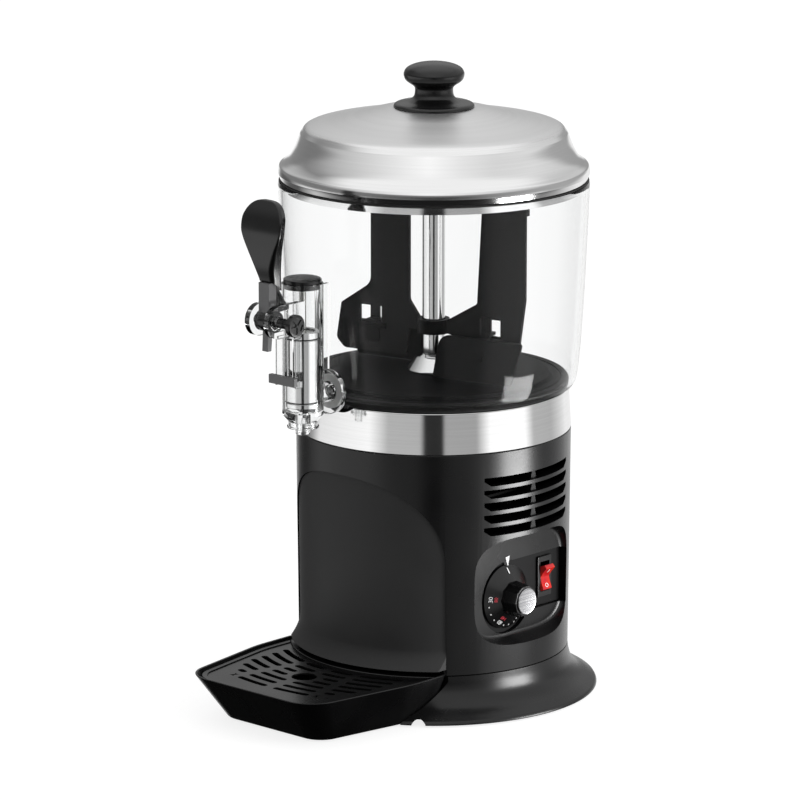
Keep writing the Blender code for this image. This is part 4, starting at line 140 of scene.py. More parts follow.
def bar(x, y, z):
    """A straight block from its three spans."""
    bm = bmesh.new()
    bmesh.ops.create_cube(bm, size=1)
    size = Vector((x[1] - x[0], y[1] - y[0], z[1] - z[0]))
    bmesh.ops.scale(bm, verts=bm.verts, vec=size)
    bmesh.ops.translate(bm, verts=bm.verts, vec=((x[0] + x[1]) / 2, (y[0] + y[1]) / 2, (z[0] + z[1]) / 2))
    return bm


def lofted(rings):
    """A closed skin that is extruded from ring to ring. The rings' points match one to one."""
    bm = bmesh.new()
    loop = [bm.verts.new(p) for p in rings[0]]
    edges = [bm.edges.new((loop[i - 1], loop[i])) for i in range(len(loop))]
    bmesh.ops.contextual_create(bm, geom=edges)
    for ring in rings[1:]:
        grown = bmesh.ops.extrude_edge_only(bm, edges=edges)["geom"]
        new = {v for v in grown if isinstance(v, bmesh.types.BMVert)}
        loop = [next(e.other_vert(v) for e in v.link_edges if e.other_vert(v) in new) for v in loop]
        edges = [e for e in grown if isinstance(e, bmesh.types.BMEdge) and set(e.verts) <= new]
        for vert, place in zip(loop, ring):
            vert.co = place
    bmesh.ops.contextual_create(bm, geom=edges)
    bmesh.ops.recalc_face_normals(bm, faces=bm.faces)
    return bm


print("shapes: spun, rod, pulled, bar, lofted")

# %% [markdown]
# ## Helpers that cut and soften
#
# A hole or a boss comes from a second shape that is cut away or joined, as a drill or a second half of the mould
# would make it. No real edge is quite sharp, so a fine bevel goes on at the end and catches the light.

# %% Cut, join and soften


def joined(*meshes):
    """Several separate shapes in one mesh."""
    whole = bmesh.new()
    for bm in meshes:
        data = bpy.data.meshes.new("part")
        bm.to_mesh(data)
        bm.free()
        whole.from_mesh(data)
        bpy.data.meshes.remove(data)
    return whole


def solid(bm, name):
    """A mesh object, moved from the machine's own axis to its place in the model."""
    bmesh.ops.translate(bm, verts=bm.verts, vec=(0, AXIS_Y, 0))
    mesh = bpy.data.meshes.new(name)
    bm.to_mesh(mesh)
    bm.free()
    return placed(name, mesh)


def bake(obj):
    """Keeps what the modifiers make as the object's own mesh."""
    graph = bpy.context.evaluated_depsgraph_get()
    mesh = bpy.data.meshes.new_from_object(obj.evaluated_get(graph))
    obj.modifiers.clear()
    obj.data = mesh


def combine(operation, obj, *others):
    """Cuts, joins or crosses an object with other shapes, and removes them."""
    for other in others:
        if isinstance(other, bmesh.types.BMesh):
            other = solid(other, "shape")
        modifier = obj.modifiers.new("shape", "BOOLEAN")
        modifier.operation = operation
        modifier.solver = "EXACT"
        modifier.object = other
        bake(obj)
        bpy.data.objects.remove(other)


cut = partial(combine, "DIFFERENCE")
join = partial(combine, "UNION")
cross = partial(combine, "INTERSECT")


def soften(obj, width, segments=3, angle=math.radians(28)):
    """Rounds the sharp edges, as a mould or a polishing wheel does."""
    bm = bmesh.new()
    bm.from_mesh(obj.data)
    bmesh.ops.remove_doubles(bm, verts=bm.verts, dist=WELD * 5)
    bmesh.ops.dissolve_degenerate(bm, edges=bm.edges, dist=WELD * 5)
    bmesh.ops.dissolve_limit(bm, angle_limit=math.radians(0.4), verts=bm.verts, edges=bm.edges)
    bm.to_mesh(obj.data)
    bm.free()
    modifier = obj.modifiers.new("soft_edges", "BEVEL")
    modifier.width = width
    modifier.segments = segments
    modifier.limit_method = "ANGLE"
    modifier.angle_limit = angle
    modifier.use_clamp_overlap = True
    modifier.miter_outer = "MITER_ARC"
    bake(obj)


print("tools: cut, join, cross, soften")

# %% [markdown]
# ## Helpers for lines
#
# A profile needs only a few measured points. A smooth line is drawn through them, a corner gets an arc, and a wall's
# inner line is its outer one moved inwards, so the wall is equally thick all along.

# %% Lines and outlines


def smooth_line(points, steps=6):
    """A smooth line through a few points."""
    line = []
    ends = [points[0], *points, points[-1]]
    for a, b, c, d in zip(ends, ends[1:], ends[2:], ends[3:]):
        for k in range(steps):
            t = k / steps
            line.append(tuple(
                0.5 * (2 * q + (r - p) * t + (2 * p - 5 * q + 4 * r - s) * t ** 2 + (3 * q - p - 3 * r + s) * t ** 3)
                for p, q, r, s in zip(a, b, c, d)))
    return line + [tuple(points[-1])]


def rounded(corners, steps=5):
    """A closed outline with an arc at each corner. A corner is (a, b, radius)."""
    points = []
    for i, (a, b, radius) in enumerate(corners):
        here = Vector((a, b))
        if radius == 0:
            points.append((a, b))
            continue
        back = (Vector(corners[i - 1][:2]) - here).normalized()
        ahead = (Vector(corners[(i + 1) % len(corners)][:2]) - here).normalized()
        half = math.acos(max(-1, min(1, back.dot(ahead)))) / 2
        centre = here + (back + ahead).normalized() * (radius / math.sin(half))
        start = here + back * (radius / math.tan(half)) - centre
        stop = here + ahead * (radius / math.tan(half)) - centre
        sweep = math.atan2(start.x * stop.y - start.y * stop.x, start.dot(stop))
        for k in range(steps + 1):
            turn = sweep * k / steps
            across = Vector((-start.y, start.x))
            points.append(tuple(centre + start * math.cos(turn) + across * math.sin(turn)))
    return points


def oval(half_a, half_b, power, count, centre=(0, 0)):
    """A squared-off ellipse."""
    points = []
    for i in range(count):
        turn = math.tau * i / count
        c, s = math.cos(turn), math.sin(turn)
        a = half_a * math.copysign(abs(c) ** (2 / power), c)
        b = half_b * math.copysign(abs(s) ** (2 / power), s)
        points.append((centre[0] + a, centre[1] + b))
    return points


def box_outline(half_a, half_b, radius, centre=(0, 0), steps=5):
    """A box with round corners, round a centre."""
    a, b = centre
    spans = [(a - half_a, b - half_b), (a + half_a, b - half_b), (a + half_a, b + half_b), (a - half_a, b + half_b)]
    return rounded([(*c, radius) for c in spans], steps)


def offset(points, distance):
    """Moves an open line to its left by a distance, with mitred corners."""
    moved = []
    last = len(points) - 1
    for i, point in enumerate(points):
        here = Vector(point)
        into = (here - Vector(points[max(i - 1, 0)])).normalized()
        out = (Vector(points[min(i + 1, last)]) - here).normalized()
        into = into if i > 0 else out
        out = out if i < last else into
        side = (Vector((-into.y, into.x)) + Vector((-out.y, out.x))).normalized()
        reach = distance / max(0.5, side.dot(Vector((-out.y, out.x))))
        moved.append(tuple(here + side * reach))
    return moved


def near(r, z, *moves):
    """Points given by how far they lie from one corner."""
    return [(r + a, z + b) for a, b in moves]


print("lines: smooth_line, rounded, oval, box_outline, offset, near")

# %% [markdown]
# ## Finishes
#
# A finish is a shader with the small unevenness of the real surface. Moulded plastic has a fine grain and patches
# that differ a little in gloss. Polished steel shows faint lines that run round the piece, from the wheel. Numbers
# that are the same all over stay on the shader itself, and only patterns go through nodes.

# %% Shader helpers


def put(node, **values):
    """Sets a node's inputs by name, with _ in place of a blank."""
    for name, value in values.items():
        node.inputs[name.replace("_", " ")].default_value = value
    return node


def add(tree, kind, **values):
    """A new shader node with its inputs set."""
    return put(tree.nodes.new("ShaderNode" + kind), **values)


def fresh(name, colour, roughness, metallic=0.0):
    """A new material with its Principled shader."""
    material = bpy.data.materials.new(name)
    material.use_nodes = True
    tree = material.node_tree
    shader = tree.nodes["Principled BSDF"]
    put(shader, Base_Color=(*colour, 1), Roughness=roughness, Metallic=metallic)
    return material, tree, shader


def mapped(tree, location, scale):
    """The piece's own coordinates, moved and stretched."""
    place = add(tree, "TexCoord")
    mapping = add(tree, "Mapping", Location=location, Scale=scale)
    tree.links.new(place.outputs["Object"], mapping.inputs["Vector"])
    return mapping.outputs["Vector"]


def pattern(tree, scale, stretch=(1, 1, 1), detail=3.0):
    """A noise on the piece's own coordinates, centred on the machine's axis."""
    noise = add(tree, "TexNoise", Scale=scale, Detail=detail)
    tree.links.new(mapped(tree, (0, -AXIS_Y * stretch[1], 0), stretch), noise.inputs["Vector"])
    return noise.outputs["Fac"]


def spread(tree, source, target, low, high, start=0.3, stop=0.7):
    """Turns a pattern into a range of values on a socket."""
    scale = add(tree, "MapRange", From_Min=start, From_Max=stop, To_Min=low, To_Max=high)
    tree.links.new(source, scale.inputs["Value"])
    tree.links.new(scale.outputs["Result"], target)


def tint(tree, source, shader, low, high, start=0.35, stop=0.65):
    """Turns a pattern into a run from one colour to another."""
    ramp = add(tree, "ValToRGB")
    for element, position, colour in zip(ramp.color_ramp.elements, (start, stop), (low, high)):
        element.position = position
        element.color = (*colour, 1)
    tree.links.new(source, ramp.inputs["Fac"])
    tree.links.new(ramp.outputs["Color"], shader.inputs["Base Color"])


def bump(tree, source, shader, strength, distance):
    """Lets a pattern raise the surface by a hair."""
    node = add(tree, "Bump", Strength=strength, Distance=distance)
    tree.links.new(source, node.inputs["Height"])
    tree.links.new(node.outputs["Normal"], shader.inputs["Normal"])


print("shader helpers ready")

# %% [markdown]
# ## Black and coloured plastic
#
# The housing is satin, the dial and the lever are glossier, and the plate that carries the dial is dull. Nearly all
# of it is black, so what tells one piece from the next is how it shines. The low index of some finishes keeps the
# plain ones from mirroring the room.

# %% Plastics
GRAIN = 2600.0
GRAIN_DEEP = 0.00003
PATCHES = 22.0


def moulded(name, dark, light, gloss, dull, depth=0.25, ior=1.5):
    """Moulded plastic: fine grain, and patches that differ a little in colour and gloss."""
    material, tree, shader = fresh(name, light, dull)
    put(shader, IOR=ior)
    patches = pattern(tree, PATCHES)
    tint(tree, patches, shader, dark, light)
    spread(tree, patches, shader.inputs["Roughness"], gloss, dull)
    bump(tree, pattern(tree, GRAIN, detail=2.0), shader, depth, GRAIN_DEEP)
    return material


SATIN = moulded("satin_black", (0.0028, 0.0028, 0.003), (0.0042, 0.0042, 0.0044), 0.25, 0.3, depth=0.12, ior=1.42)
PANEL = moulded("panel_black", (0.0175, 0.0175, 0.0177), (0.021, 0.021, 0.0212), 0.55, 0.62, ior=1.42)
PLATE = moulded("plate_black", (0.0045, 0.0045, 0.0047), (0.006, 0.006, 0.0062), 0.46, 0.54, ior=1.22)
GLOSS = moulded("gloss_black", (0.0035, 0.0035, 0.0037), (0.005, 0.005, 0.0052), 0.22, 0.3, depth=0.08)
RUBBER = moulded("dull_rubber", (0.007, 0.007, 0.007), (0.011, 0.011, 0.011), 0.62, 0.75, depth=0.5)
COATING = moulded(
    "plate_coating", (0.0045, 0.0045, 0.0047), (0.006, 0.006, 0.0062), 0.5, 0.58, depth=0.04, ior=1.22)
PADDLE = moulded("paddle_black", (0.0075, 0.0075, 0.0077), (0.0095, 0.0095, 0.0097), 0.46, 0.54, depth=0.04, ior=1.25)
# The clips' finish is darker than the paddles': painted shade of the recess that the clips sit in.
SHADED_CLIP_BLACK = moulded("clip_black_painted_shade", (0.0015, 0.0015, 0.0015), (0.0022, 0.0022, 0.0022), 0.5, 0.58, ior=1.15)
STEM_GREY = moulded("stem_grey", (0.105, 0.105, 0.107), (0.125, 0.125, 0.127), 0.36, 0.44)
INSULATOR = moulded("cream_insulator", (0.66, 0.6, 0.5), (0.76, 0.71, 0.61), 0.55, 0.65)
SILICONE = moulded("pale_silicone", (0.62, 0.62, 0.61), (0.72, 0.72, 0.71), 0.4, 0.5)
WHITE = moulded("white_print", (0.78, 0.78, 0.78), (0.86, 0.86, 0.86), 0.45, 0.55)
RED_PRINT = moulded("red_print", (0.55, 0.04, 0.06), (0.62, 0.05, 0.07), 0.45, 0.55)
print("plastics:", len(bpy.data.materials))

# %% [markdown]
# ## Metals
#
# The band, the lid and the column are polished steel, the dial's cap is spun, and the works inside are plated or
# brass. The lid's dome is brushed duller than its skirt, so its polish changes with the distance from the middle.

# %% Metals
LINE_DEEP = 0.00002


def metal(name, dark, light, gloss, dull, lines=900.0, depth=0.1):
    """Metal with fine lines that run round the piece."""
    material, tree, shader = fresh(name, light, dull, 1.0)
    brushing = pattern(tree, 1.0, (6, 6, lines), 4.0)
    tint(tree, brushing, shader, dark, light)
    spread(tree, pattern(tree, 30.0), shader.inputs["Roughness"], gloss, dull)
    bump(tree, brushing, shader, depth, LINE_DEEP)
    return material


def by_radius(material, inner, outer, inner_roughness, outer_roughness):
    """Makes the polish differ between the middle of a round piece and its skirt."""
    tree = material.node_tree
    radius = add(tree, "VectorMath")
    radius.operation = "LENGTH"
    tree.links.new(mapped(tree, (0, -AXIS_Y, 0), (1, 1, 0)), radius.inputs[0])
    roughness = tree.nodes["Principled BSDF"].inputs["Roughness"]
    spread(tree, radius.outputs["Value"], roughness, inner_roughness, outer_roughness, inner, outer)


STEEL = metal("polished_steel", (0.765, 0.765, 0.765), (0.8, 0.8, 0.8), 0.06, 0.1, depth=0.02)
PLATED = metal("plated_steel", (0.48, 0.48, 0.46), (0.62, 0.62, 0.6), 0.3, 0.4, lines=1400.0, depth=0.2)
BRASS = metal("turned_brass", (0.6, 0.43, 0.19), (0.74, 0.55, 0.27), 0.24, 0.34)
LID_STEEL = metal("lid_steel", (0.775, 0.775, 0.775), (0.8, 0.8, 0.8), 0.08, 0.12, depth=0.012)
SPUN_CAP = metal("spun_cap", (0.4, 0.4, 0.41), (0.56, 0.56, 0.57), 0.2, 0.28)
by_radius(LID_STEEL, inner=0.099, outer=0.104, inner_roughness=0.38, outer_roughness=0.13)
print("with metals:", len(bpy.data.materials))

# %% [markdown]
# ## Clear plastic
#
# A clear wall is seen by its edges: its colour is painted darker there, as painted shade for the dark room bent into
# view.
# The bowl's index is lower than that of real plastic: its large wall then stays free of reflections, as walls in
# product pictures mostly are. The switch's key is a clear red that glows a little.

# %% Clear plastics


def clear(name, colour, edge, start, gloss, dull, ior):
    """Clear moulded plastic: faintly wavy, with painted shade that darkens its colour where the wall is seen on edge.
    """
    material, tree, shader = fresh(name, colour, gloss)
    put(shader, IOR=ior, Transmission_Weight=1.0)
    spread(tree, pattern(tree, 35.0, detail=1.0), shader.inputs["Roughness"], gloss, dull)
    # Painted shade: the colour runs from clear to dark grey as the wall turns edge-on.
    facing = add(tree, "LayerWeight", Blend=0.5)
    tint(tree, facing.outputs["Facing"], shader, colour, edge, start, 1.0)
    return material


# The second colour of each clear finish is its painted edge shade.
CLEAR = clear("clear_bowl", (0.992, 0.995, 0.995), (0.12, 0.12, 0.12), 0.9, 0.0, 0.012, ior=1.2)
CLEAR_TAP = clear("clear_tap", (0.98, 0.985, 0.985), (0.22, 0.22, 0.22), 0.8, 0.0, 0.02, ior=1.36)
ROCKER_RED, rocker_tree, rocker_shader = fresh("lit_red", (0.62, 0.02, 0.02), 0.16)
put(rocker_shader, Transmission_Weight=0.25, Emission_Strength=0.03, Emission_Color=(1.0, 0.1, 0.04, 1))
tint(rocker_tree, pattern(rocker_tree, 160.0), rocker_shader, (0.5, 0.008, 0.03), (0.7, 0.025, 0.01))
print("all finishes:", len(bpy.data.materials))

# %% [markdown]
# ## A finished piece
#
# Each piece gets one finish, smooth shading with its true edges kept, and the body it moves with. The shading follows
# the large faces, so that a fine bevel doesn't bend the reflections of a wall beside it.

# %% Show a piece
SMOOTH_ANGLE = math.radians(32)


def show(obj, material, body, slot, *stands_for):
    """Gives a finished piece its finish, its shading and its body."""
    obj.data.materials.clear()
    obj.data.materials.append(material)
    obj.data.shade_smooth()
    obj.data.set_sharp_from_angle(angle=SMOOTH_ANGLE)
    modifier = obj.modifiers.new("even_shading", "WEIGHTED_NORMAL")
    modifier.mode = "FACE_AREA"
    modifier.weight = 100
    modifier.keep_sharp = True
    bake(obj)
    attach(obj, body)
    if stands_for:
        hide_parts(*stands_for)
    print(obj.name, len(obj.data.polygons), "faces")
    return obj


print("smooth below", round(math.degrees(SMOOTH_ANGLE)), "degrees")

# %% [markdown]
# ## The base
#
# The base is one moulding that flares out to a thin rim, so the machine can't tip when the bowl is full. Its line
# is spun, and then the dock for the drip tray and two small arches for the fingers are cut through the flare. Pieces
# that meet are kept a hair apart, pieces that slide a gap apart, and a cut goes a little over the edge.

# %% Sizes of the base
BASE_R = 0.131
BASE_TOP_Z = 0.0343
BASE_RIM_Z = 0.0015
BASE_WALL = 0.003
HOUSING_R = 0.1075
HOUSING_TOP_R = 0.109
HOUSING_TOP_Z = 0.2122
TRAY_HALF = 0.084
TRAY_REAR = 0.072
TRAY_TOP_Z = 0.038
TRAY_LOW_Z = 0.001
TRAY_FOOT_HALF = 0.0665
DOCK_WALL = 0.0025
DOCK_TOP_Z = 0.0395
GAP = 0.001
HAIR = 0.0003
OVER = 0.004
NOTCH_R = 0.0058
NOTCH_TURN = math.radians(37.5)

FLARE_SHARE = ((0.0, 1.0), (0.045, 0.79), (0.16, 0.56), (0.40, 0.36), (0.74, 0.215), (0.955, 0.125))
flare = [(HOUSING_R + (BASE_R - HOUSING_R) * out, BASE_TOP_Z * high) for out, high in FLARE_SHARE]
base_line = smooth_line(flare) + [(BASE_R - HAIR, 0.0030), (BASE_R, 0.0022), (BASE_R, BASE_RIM_Z)]
print("base line:", len(base_line), "points")

# %% Base moulding


def dock(gap, rear_gap, low_z, high_z, front=-(BASE_R + OVER)):
    """The tapered space that the tray slides into, wider by a gap."""
    slope = (TRAY_HALF - TRAY_FOOT_HALF) / (TRAY_TOP_Z - TRAY_LOW_Z)
    low_half = TRAY_FOOT_HALF + gap + slope * (low_z - TRAY_LOW_Z)
    top_half = TRAY_HALF + gap
    outline = [(-low_half, low_z), (low_half, low_z), (top_half, TRAY_TOP_Z), (top_half, high_z),
               (-top_half, high_z), (-top_half, TRAY_TOP_Z)]
    return along_y(outline, front, -TRAY_REAR + rear_gap)


base_inner = [p for p in offset(base_line, -BASE_WALL) if p[1] > 0.011]
base_foot = [(BASE_R - BASE_WALL, BASE_RIM_Z), (0.1265, 0.0062), (0.104, 0.0074), (0.104, 0.0099), (0.119, 0.0101)]
base = solid(spun(base_line + base_foot + list(reversed(base_inner))), "base_flare")
cut(base, dock(GAP, GAP, BASE_RIM_Z - OVER, DOCK_TOP_Z + OVER))
core_low, core_r = BASE_RIM_Z + HAIR, HOUSING_R - 0.0033
core_line = [(0, core_low), (BASE_R - 0.0004, core_low)]
core_line += [(r - HAIR, z) for r, z in reversed(base_line[1:-2])]
core_line += [(core_r, BASE_TOP_Z), (core_r, DOCK_TOP_Z), (0, DOCK_TOP_Z)]
walls = solid(dock(GAP + DOCK_WALL, GAP + DOCK_WALL, core_low, DOCK_TOP_Z), "dock_walls")
cross(walls, spun(core_line))
cut(walls, dock(GAP, GAP, BASE_RIM_Z - OVER, DOCK_TOP_Z + OVER))
join(base, walls)
for side in (-1, 1):
    arch = rod(NOTCH_R, 0.115, 0.14, 40, axis="Y")
    arch.transform(Matrix.Rotation(math.pi + side * NOTCH_TURN, 4, "Z"))
    cut(base, arch)
show(base, SATIN, "machine", "black_moulding", "base_ring")

# %% [markdown]
# ## The housing
#
# The housing is a tall, slightly widening shell. At the front it has an arched window for the cover, at the side a
# scoop with soft walls for the controls, and above the scoop five deep vents with chamfered lower corners, each
# crossed by a thin rib. The thick parts are joined on first, and then everything is cut through in one go.

# %% Sizes of the housing
WALL = 0.003
WINDOW_HALF = 0.080
WINDOW_RISE = 0.0702
WINDOW_SPRING_Z = 0.120
WINDOW_POWER = 2.4
SCOOP_HALF_Y = 0.057
SCOOP_HALF_Z = 0.044
SCOOP_Z = 0.0983
SCOOP_POWER = 4.0
SCOOP_FLOOR_X = 0.0895
SCOOP_WALL = 0.0028
PANEL_BACK_X = 0.0835
PANEL_X = 0.086
SUNK_EDGE_Y = 0.0541
SUNK_LOW_Z = 0.0728
SUNK_HIGH_Z = 0.1176
DIAL_Y = -0.012
DIAL_Z = 0.089
DIAL_SUNK_R = 0.0295
VENT_HALF = 0.048
VENT_TOP_Z = 0.1925
VENT_HIGH = 0.007
VENT_STEP = 0.003
VENT_PITCH = 0.010
VENT_CORNER = 0.0055
VENT_DEEP = 0.009
VENTS = 5
VENT_BACK_X = HOUSING_R - WALL - VENT_DEEP
RIB_LOW_HALF = 0.0034
RIB_TOP_HALF = 0.0012
RIB_HIGH = 0.0098
INLET_R = 0.0083
INLET_Z = 0.054
OUTSIDE = HOUSING_TOP_R + OVER


def housing_r(z):
    """The housing's radius at a height."""
    return HOUSING_R + (HOUSING_TOP_R - HOUSING_R) * (z - BASE_TOP_Z) / (HOUSING_TOP_Z - BASE_TOP_Z)


def window_outline(gap, low_z, steps=96):
    """The arched window for the front cover, smaller by a gap."""
    half = WINDOW_HALF - gap
    arch = oval(half, WINDOW_RISE - gap, WINDOW_POWER, steps, (0, WINDOW_SPRING_Z))[:steps // 2 + 1]
    return [(half, low_z), *arch, (-half, low_z)]


print("housing:", round(2 * HOUSING_TOP_R, 3), "m wide")

# %% Housing shell


def pad(outline, x_low):
    """A thickening behind the housing's wall."""
    shape = solid(pulled(outline, x_low, HOUSING_TOP_R, "X"), "pad")
    mid = WALL / 2
    cross(shape, spun([(0, BASE_TOP_Z), (HOUSING_R - mid, BASE_TOP_Z), (HOUSING_TOP_R - mid, HOUSING_TOP_Z),
                       (0, HOUSING_TOP_Z)]))
    bm = bmesh.new()
    bm.from_mesh(shape.data)
    bmesh.ops.translate(bm, verts=bm.verts, vec=(0, -AXIS_Y, 0))
    bpy.data.objects.remove(shape)
    return bm


low_z = BASE_TOP_Z + HAIR
ledge_z = HOUSING_TOP_Z - WALL
edge_r = 0.0006
housing_line = [
    (HOUSING_R - edge_r, low_z), (HOUSING_R, low_z + edge_r), (HOUSING_TOP_R, HOUSING_TOP_Z - edge_r),
    (HOUSING_TOP_R - edge_r, HOUSING_TOP_Z), (0.096, HOUSING_TOP_Z), (0.096, ledge_z),
    (HOUSING_TOP_R - WALL, ledge_z), (HOUSING_R - WALL, low_z),
]
housing = solid(spun(housing_line, 160), "housing_shell")
cut(housing, along_y(window_outline(0, BASE_TOP_Z - OVER), -OUTSIDE, -HOUSING_R / 2))
scoop_edge = oval(SCOOP_HALF_Y + SCOOP_WALL, SCOOP_HALF_Z + SCOOP_WALL, SCOOP_POWER, 96, (0, SCOOP_Z))
join(housing, pad(scoop_edge, PANEL_BACK_X))
vent_half = VENT_HALF + 0.0035
vent_pad = [(-vent_half, 0.1425), (vent_half, 0.1425), (vent_half, 0.196), (-vent_half, 0.196)]
join(housing, pad(vent_pad, VENT_BACK_X))
print("shell with its thick parts:", len(housing.data.polygons), "faces")

# %% Scoop for the controls
SCOOP_LOFT = smooth_line([(0.0, 0.88), (0.015, 0.915), (0.06, 0.937), (0.22, 0.96), (0.55, 0.982), (1.0, 1.0)], 4)
scoop_rings = []
for deep, wide in SCOOP_LOFT:
    x = SCOOP_FLOOR_X + (OUTSIDE - SCOOP_FLOOR_X) * deep
    ring = oval(SCOOP_HALF_Y * wide, SCOOP_HALF_Z * wide, SCOOP_POWER, 96, (0, SCOOP_Z))
    scoop_rings.append([(x, a, b) for a, b in ring])
cut(housing, lofted(scoop_rings))


def sunk_shapes(gap, low_x, high_x):
    """The disc and the box that the control plate is made of, smaller by a gap."""
    disc = rod(DIAL_SUNK_R - gap, low_x, high_x, 96, (0, DIAL_Y, DIAL_Z), "X")
    half_z = (SUNK_HIGH_Z - SUNK_LOW_Z) / 2 - gap
    middle_z = (SUNK_HIGH_Z + SUNK_LOW_Z) / 2
    half_y = (SUNK_EDGE_Y - DIAL_Y - gap) / 2
    box = pulled(box_outline(half_y, half_z, 0.0008, (DIAL_Y + half_y, middle_z), 3), low_x, high_x, "X")
    return disc, box


cut(housing, *sunk_shapes(0, PANEL_BACK_X - OVER, OUTSIDE))
print("with the scoop:", len(housing.data.polygons), "faces")

# %% Vents and cord inlet
inner = VENT_HALF - VENT_CORNER
for row in range(VENTS):
    top = VENT_TOP_Z - row * VENT_PITCH
    low = top - VENT_HIGH
    step = top - VENT_STEP
    slot_line = [(-VENT_HALF, top), (-VENT_HALF, step), (-inner, low)]
    slot_line += [(-a, b) for a, b in reversed(slot_line)]
    cut(housing, pulled(slot_line, HOUSING_R / 2, OUTSIDE, "X"))
cut(housing, rod(INLET_R, 0.09, 0.12, 40, (0, 0, INLET_Z), "Y"))
soften(housing, 0.0007, 2)
for row in range(VENTS):
    top = VENT_TOP_Z - row * VENT_PITCH + 0.0015
    low = top - RIB_HIGH
    rib = [(-RIB_LOW_HALF, low), (RIB_LOW_HALF, low), (RIB_TOP_HALF, top), (-RIB_TOP_HALF, top)]
    join(housing, pulled(rib, VENT_BACK_X + 0.0005, HOUSING_R - 0.0016, "X"))
show(housing, SATIN, "machine", "black_moulding", "housing")

# %% [markdown]
# ## The front cover
#
# A separate cover closes the window. It lies a little deeper than the housing, and its foot flares forward over the
# tray so that drips run off it. It is spun with the same radii and then cut to the window's outline.

# %% Front cover
RECESS = 0.0013
CREASE_Z = 0.057
LIP_Z = 0.040
LIP_OUT = 0.0074
LIP_STEPS = 10
COVER_WALL = 0.0025
COVER_IN_R = 0.0735
lip_top = LIP_Z + 0.002
cover_top = WINDOW_SPRING_Z + WINDOW_RISE + OVER
crease_r = housing_r(CREASE_Z) - RECESS
cover_line = [(housing_r(cover_top) - RECESS, cover_top), (crease_r, CREASE_Z + 0.004)]
for k in range(1, LIP_STEPS + 1):
    share = k / LIP_STEPS
    cover_line.append((crease_r + LIP_OUT * share ** 2, CREASE_Z + (LIP_Z - CREASE_Z) * share))
cover_back = [p for p in offset(cover_line[:-1], -COVER_WALL) if p[1] > lip_top]
cover_profile = cover_line + [(COVER_IN_R, LIP_Z), (COVER_IN_R, lip_top), (crease_r - COVER_WALL, lip_top)]
cover = solid(spun(cover_profile + list(reversed(cover_back)), 160), "front_panel")
cross(cover, along_y(window_outline(HAIR, LIP_Z - OVER), -BASE_R, -HOUSING_R / 3))
soften(cover, 0.0006, 2)
show(cover, PANEL, "machine", "black_moulding", "front_cover")

# %% [markdown]
# ## The control plate, the dial and the switch
#
# The plate lies sunk in the scoop's floor: a disc round the dial, joined to a box round the switch. Both holes in it
# are plain, because the dial's spindle and the switch are pushed through from behind or in front.

# %% Control plate
SWITCH_Y = 0.0344
SWITCH_Z = 0.0965
dial_at = (0, DIAL_Y, DIAL_Z)


def at_switch(x, half_y, half_z):
    """A block round the switch's middle."""
    return bar(x, (SWITCH_Y - half_y, SWITCH_Y + half_y), (SWITCH_Z - half_z, SWITCH_Z + half_z))


disc, box = sunk_shapes(HAIR, PANEL_BACK_X, PANEL_X)
plate = solid(disc, "control_plate")
join(plate, box)
cut(plate, rod(0.0048, 0.08, 0.1, 40, dial_at, "X"), at_switch((0.08, 0.1), 0.0069, 0.0143))
show(plate, PLATE, "machine", "black_moulding", "control_panel")

# %% [markdown]
# ## The dial
#
# The dial is a cone and a ten-sided grip moulded in one, with a spun metal cap. A cone is easy to read from above.
# The grip is spun in only ten steps, which makes its flat sides.

# %% Dial
DIAL_BACK_X = PANEL_X + GAP
SPINDLE_R = 0.0033
SPINDLE_X = 0.1013
GRIP_SIDES = 10
SKIRT_R = 0.0255
SKIRT_EDGE = 0.0016
CONE_HIGH = 0.0075
GRIP_R = 0.014
GRIP_TOP_R = 0.0125
GRIP_X = DIAL_BACK_X + SKIRT_EDGE + CONE_HIGH
DIAL_FRONT_X = PANEL_X + 0.0235
CAP_R = 0.0105
skirt_line = [(SPINDLE_R, DIAL_BACK_X), *near(SKIRT_R, DIAL_BACK_X, (-0.0004, 0), (0, 0.0004)),
              *near(SKIRT_R, DIAL_BACK_X + SKIRT_EDGE, (0, -0.0003), (-0.0005, 0)),
              (GRIP_R - 0.001, GRIP_X), (SPINDLE_R, GRIP_X)]
dial = solid(spun(skirt_line, 96, dial_at, "X"), "dial_body")
grip_line = [(SPINDLE_R, DIAL_BACK_X + 0.0008), (GRIP_R, DIAL_BACK_X + 0.0008), (GRIP_R, GRIP_X),
             (GRIP_TOP_R, DIAL_FRONT_X), (0, DIAL_FRONT_X), (0, SPINDLE_X), (SPINDLE_R, SPINDLE_X)]
grip = solid(spun(grip_line, GRIP_SIDES, dial_at, "X"), "grip")
soften(grip, 0.0007, 3)
join(dial, grip)
show(dial, GLOSS, "dial", "black_gloss_trim", "dial_knob")
cap_line = [(0, DIAL_FRONT_X + HAIR),
            *near(CAP_R, DIAL_FRONT_X, (0, HAIR), (0, 0.0011), (-0.0004, 0.0015), (-0.0012, 0.0013)),
            (0, DIAL_FRONT_X + 0.0013)]
cap = solid(spun(cap_line, 64, dial_at, "X"), "dial_disc")
show(cap, SPUN_CAP, "dial", "silver_cap", "dial_cap")

# %% [markdown]
# ## The dial's marks
#
# The numbers and dots are printed on the cone. Print has hardly any thickness, so each mark is a thin solid that is
# tilted to the cone's slope and turned to its place. A white pointer is printed on the housing above the dial.

# %% Marks on the dial
CONE_SLOPE = math.atan2(CONE_HIGH, SKIRT_R - GRIP_R)
MARK_THICK = 0.00012


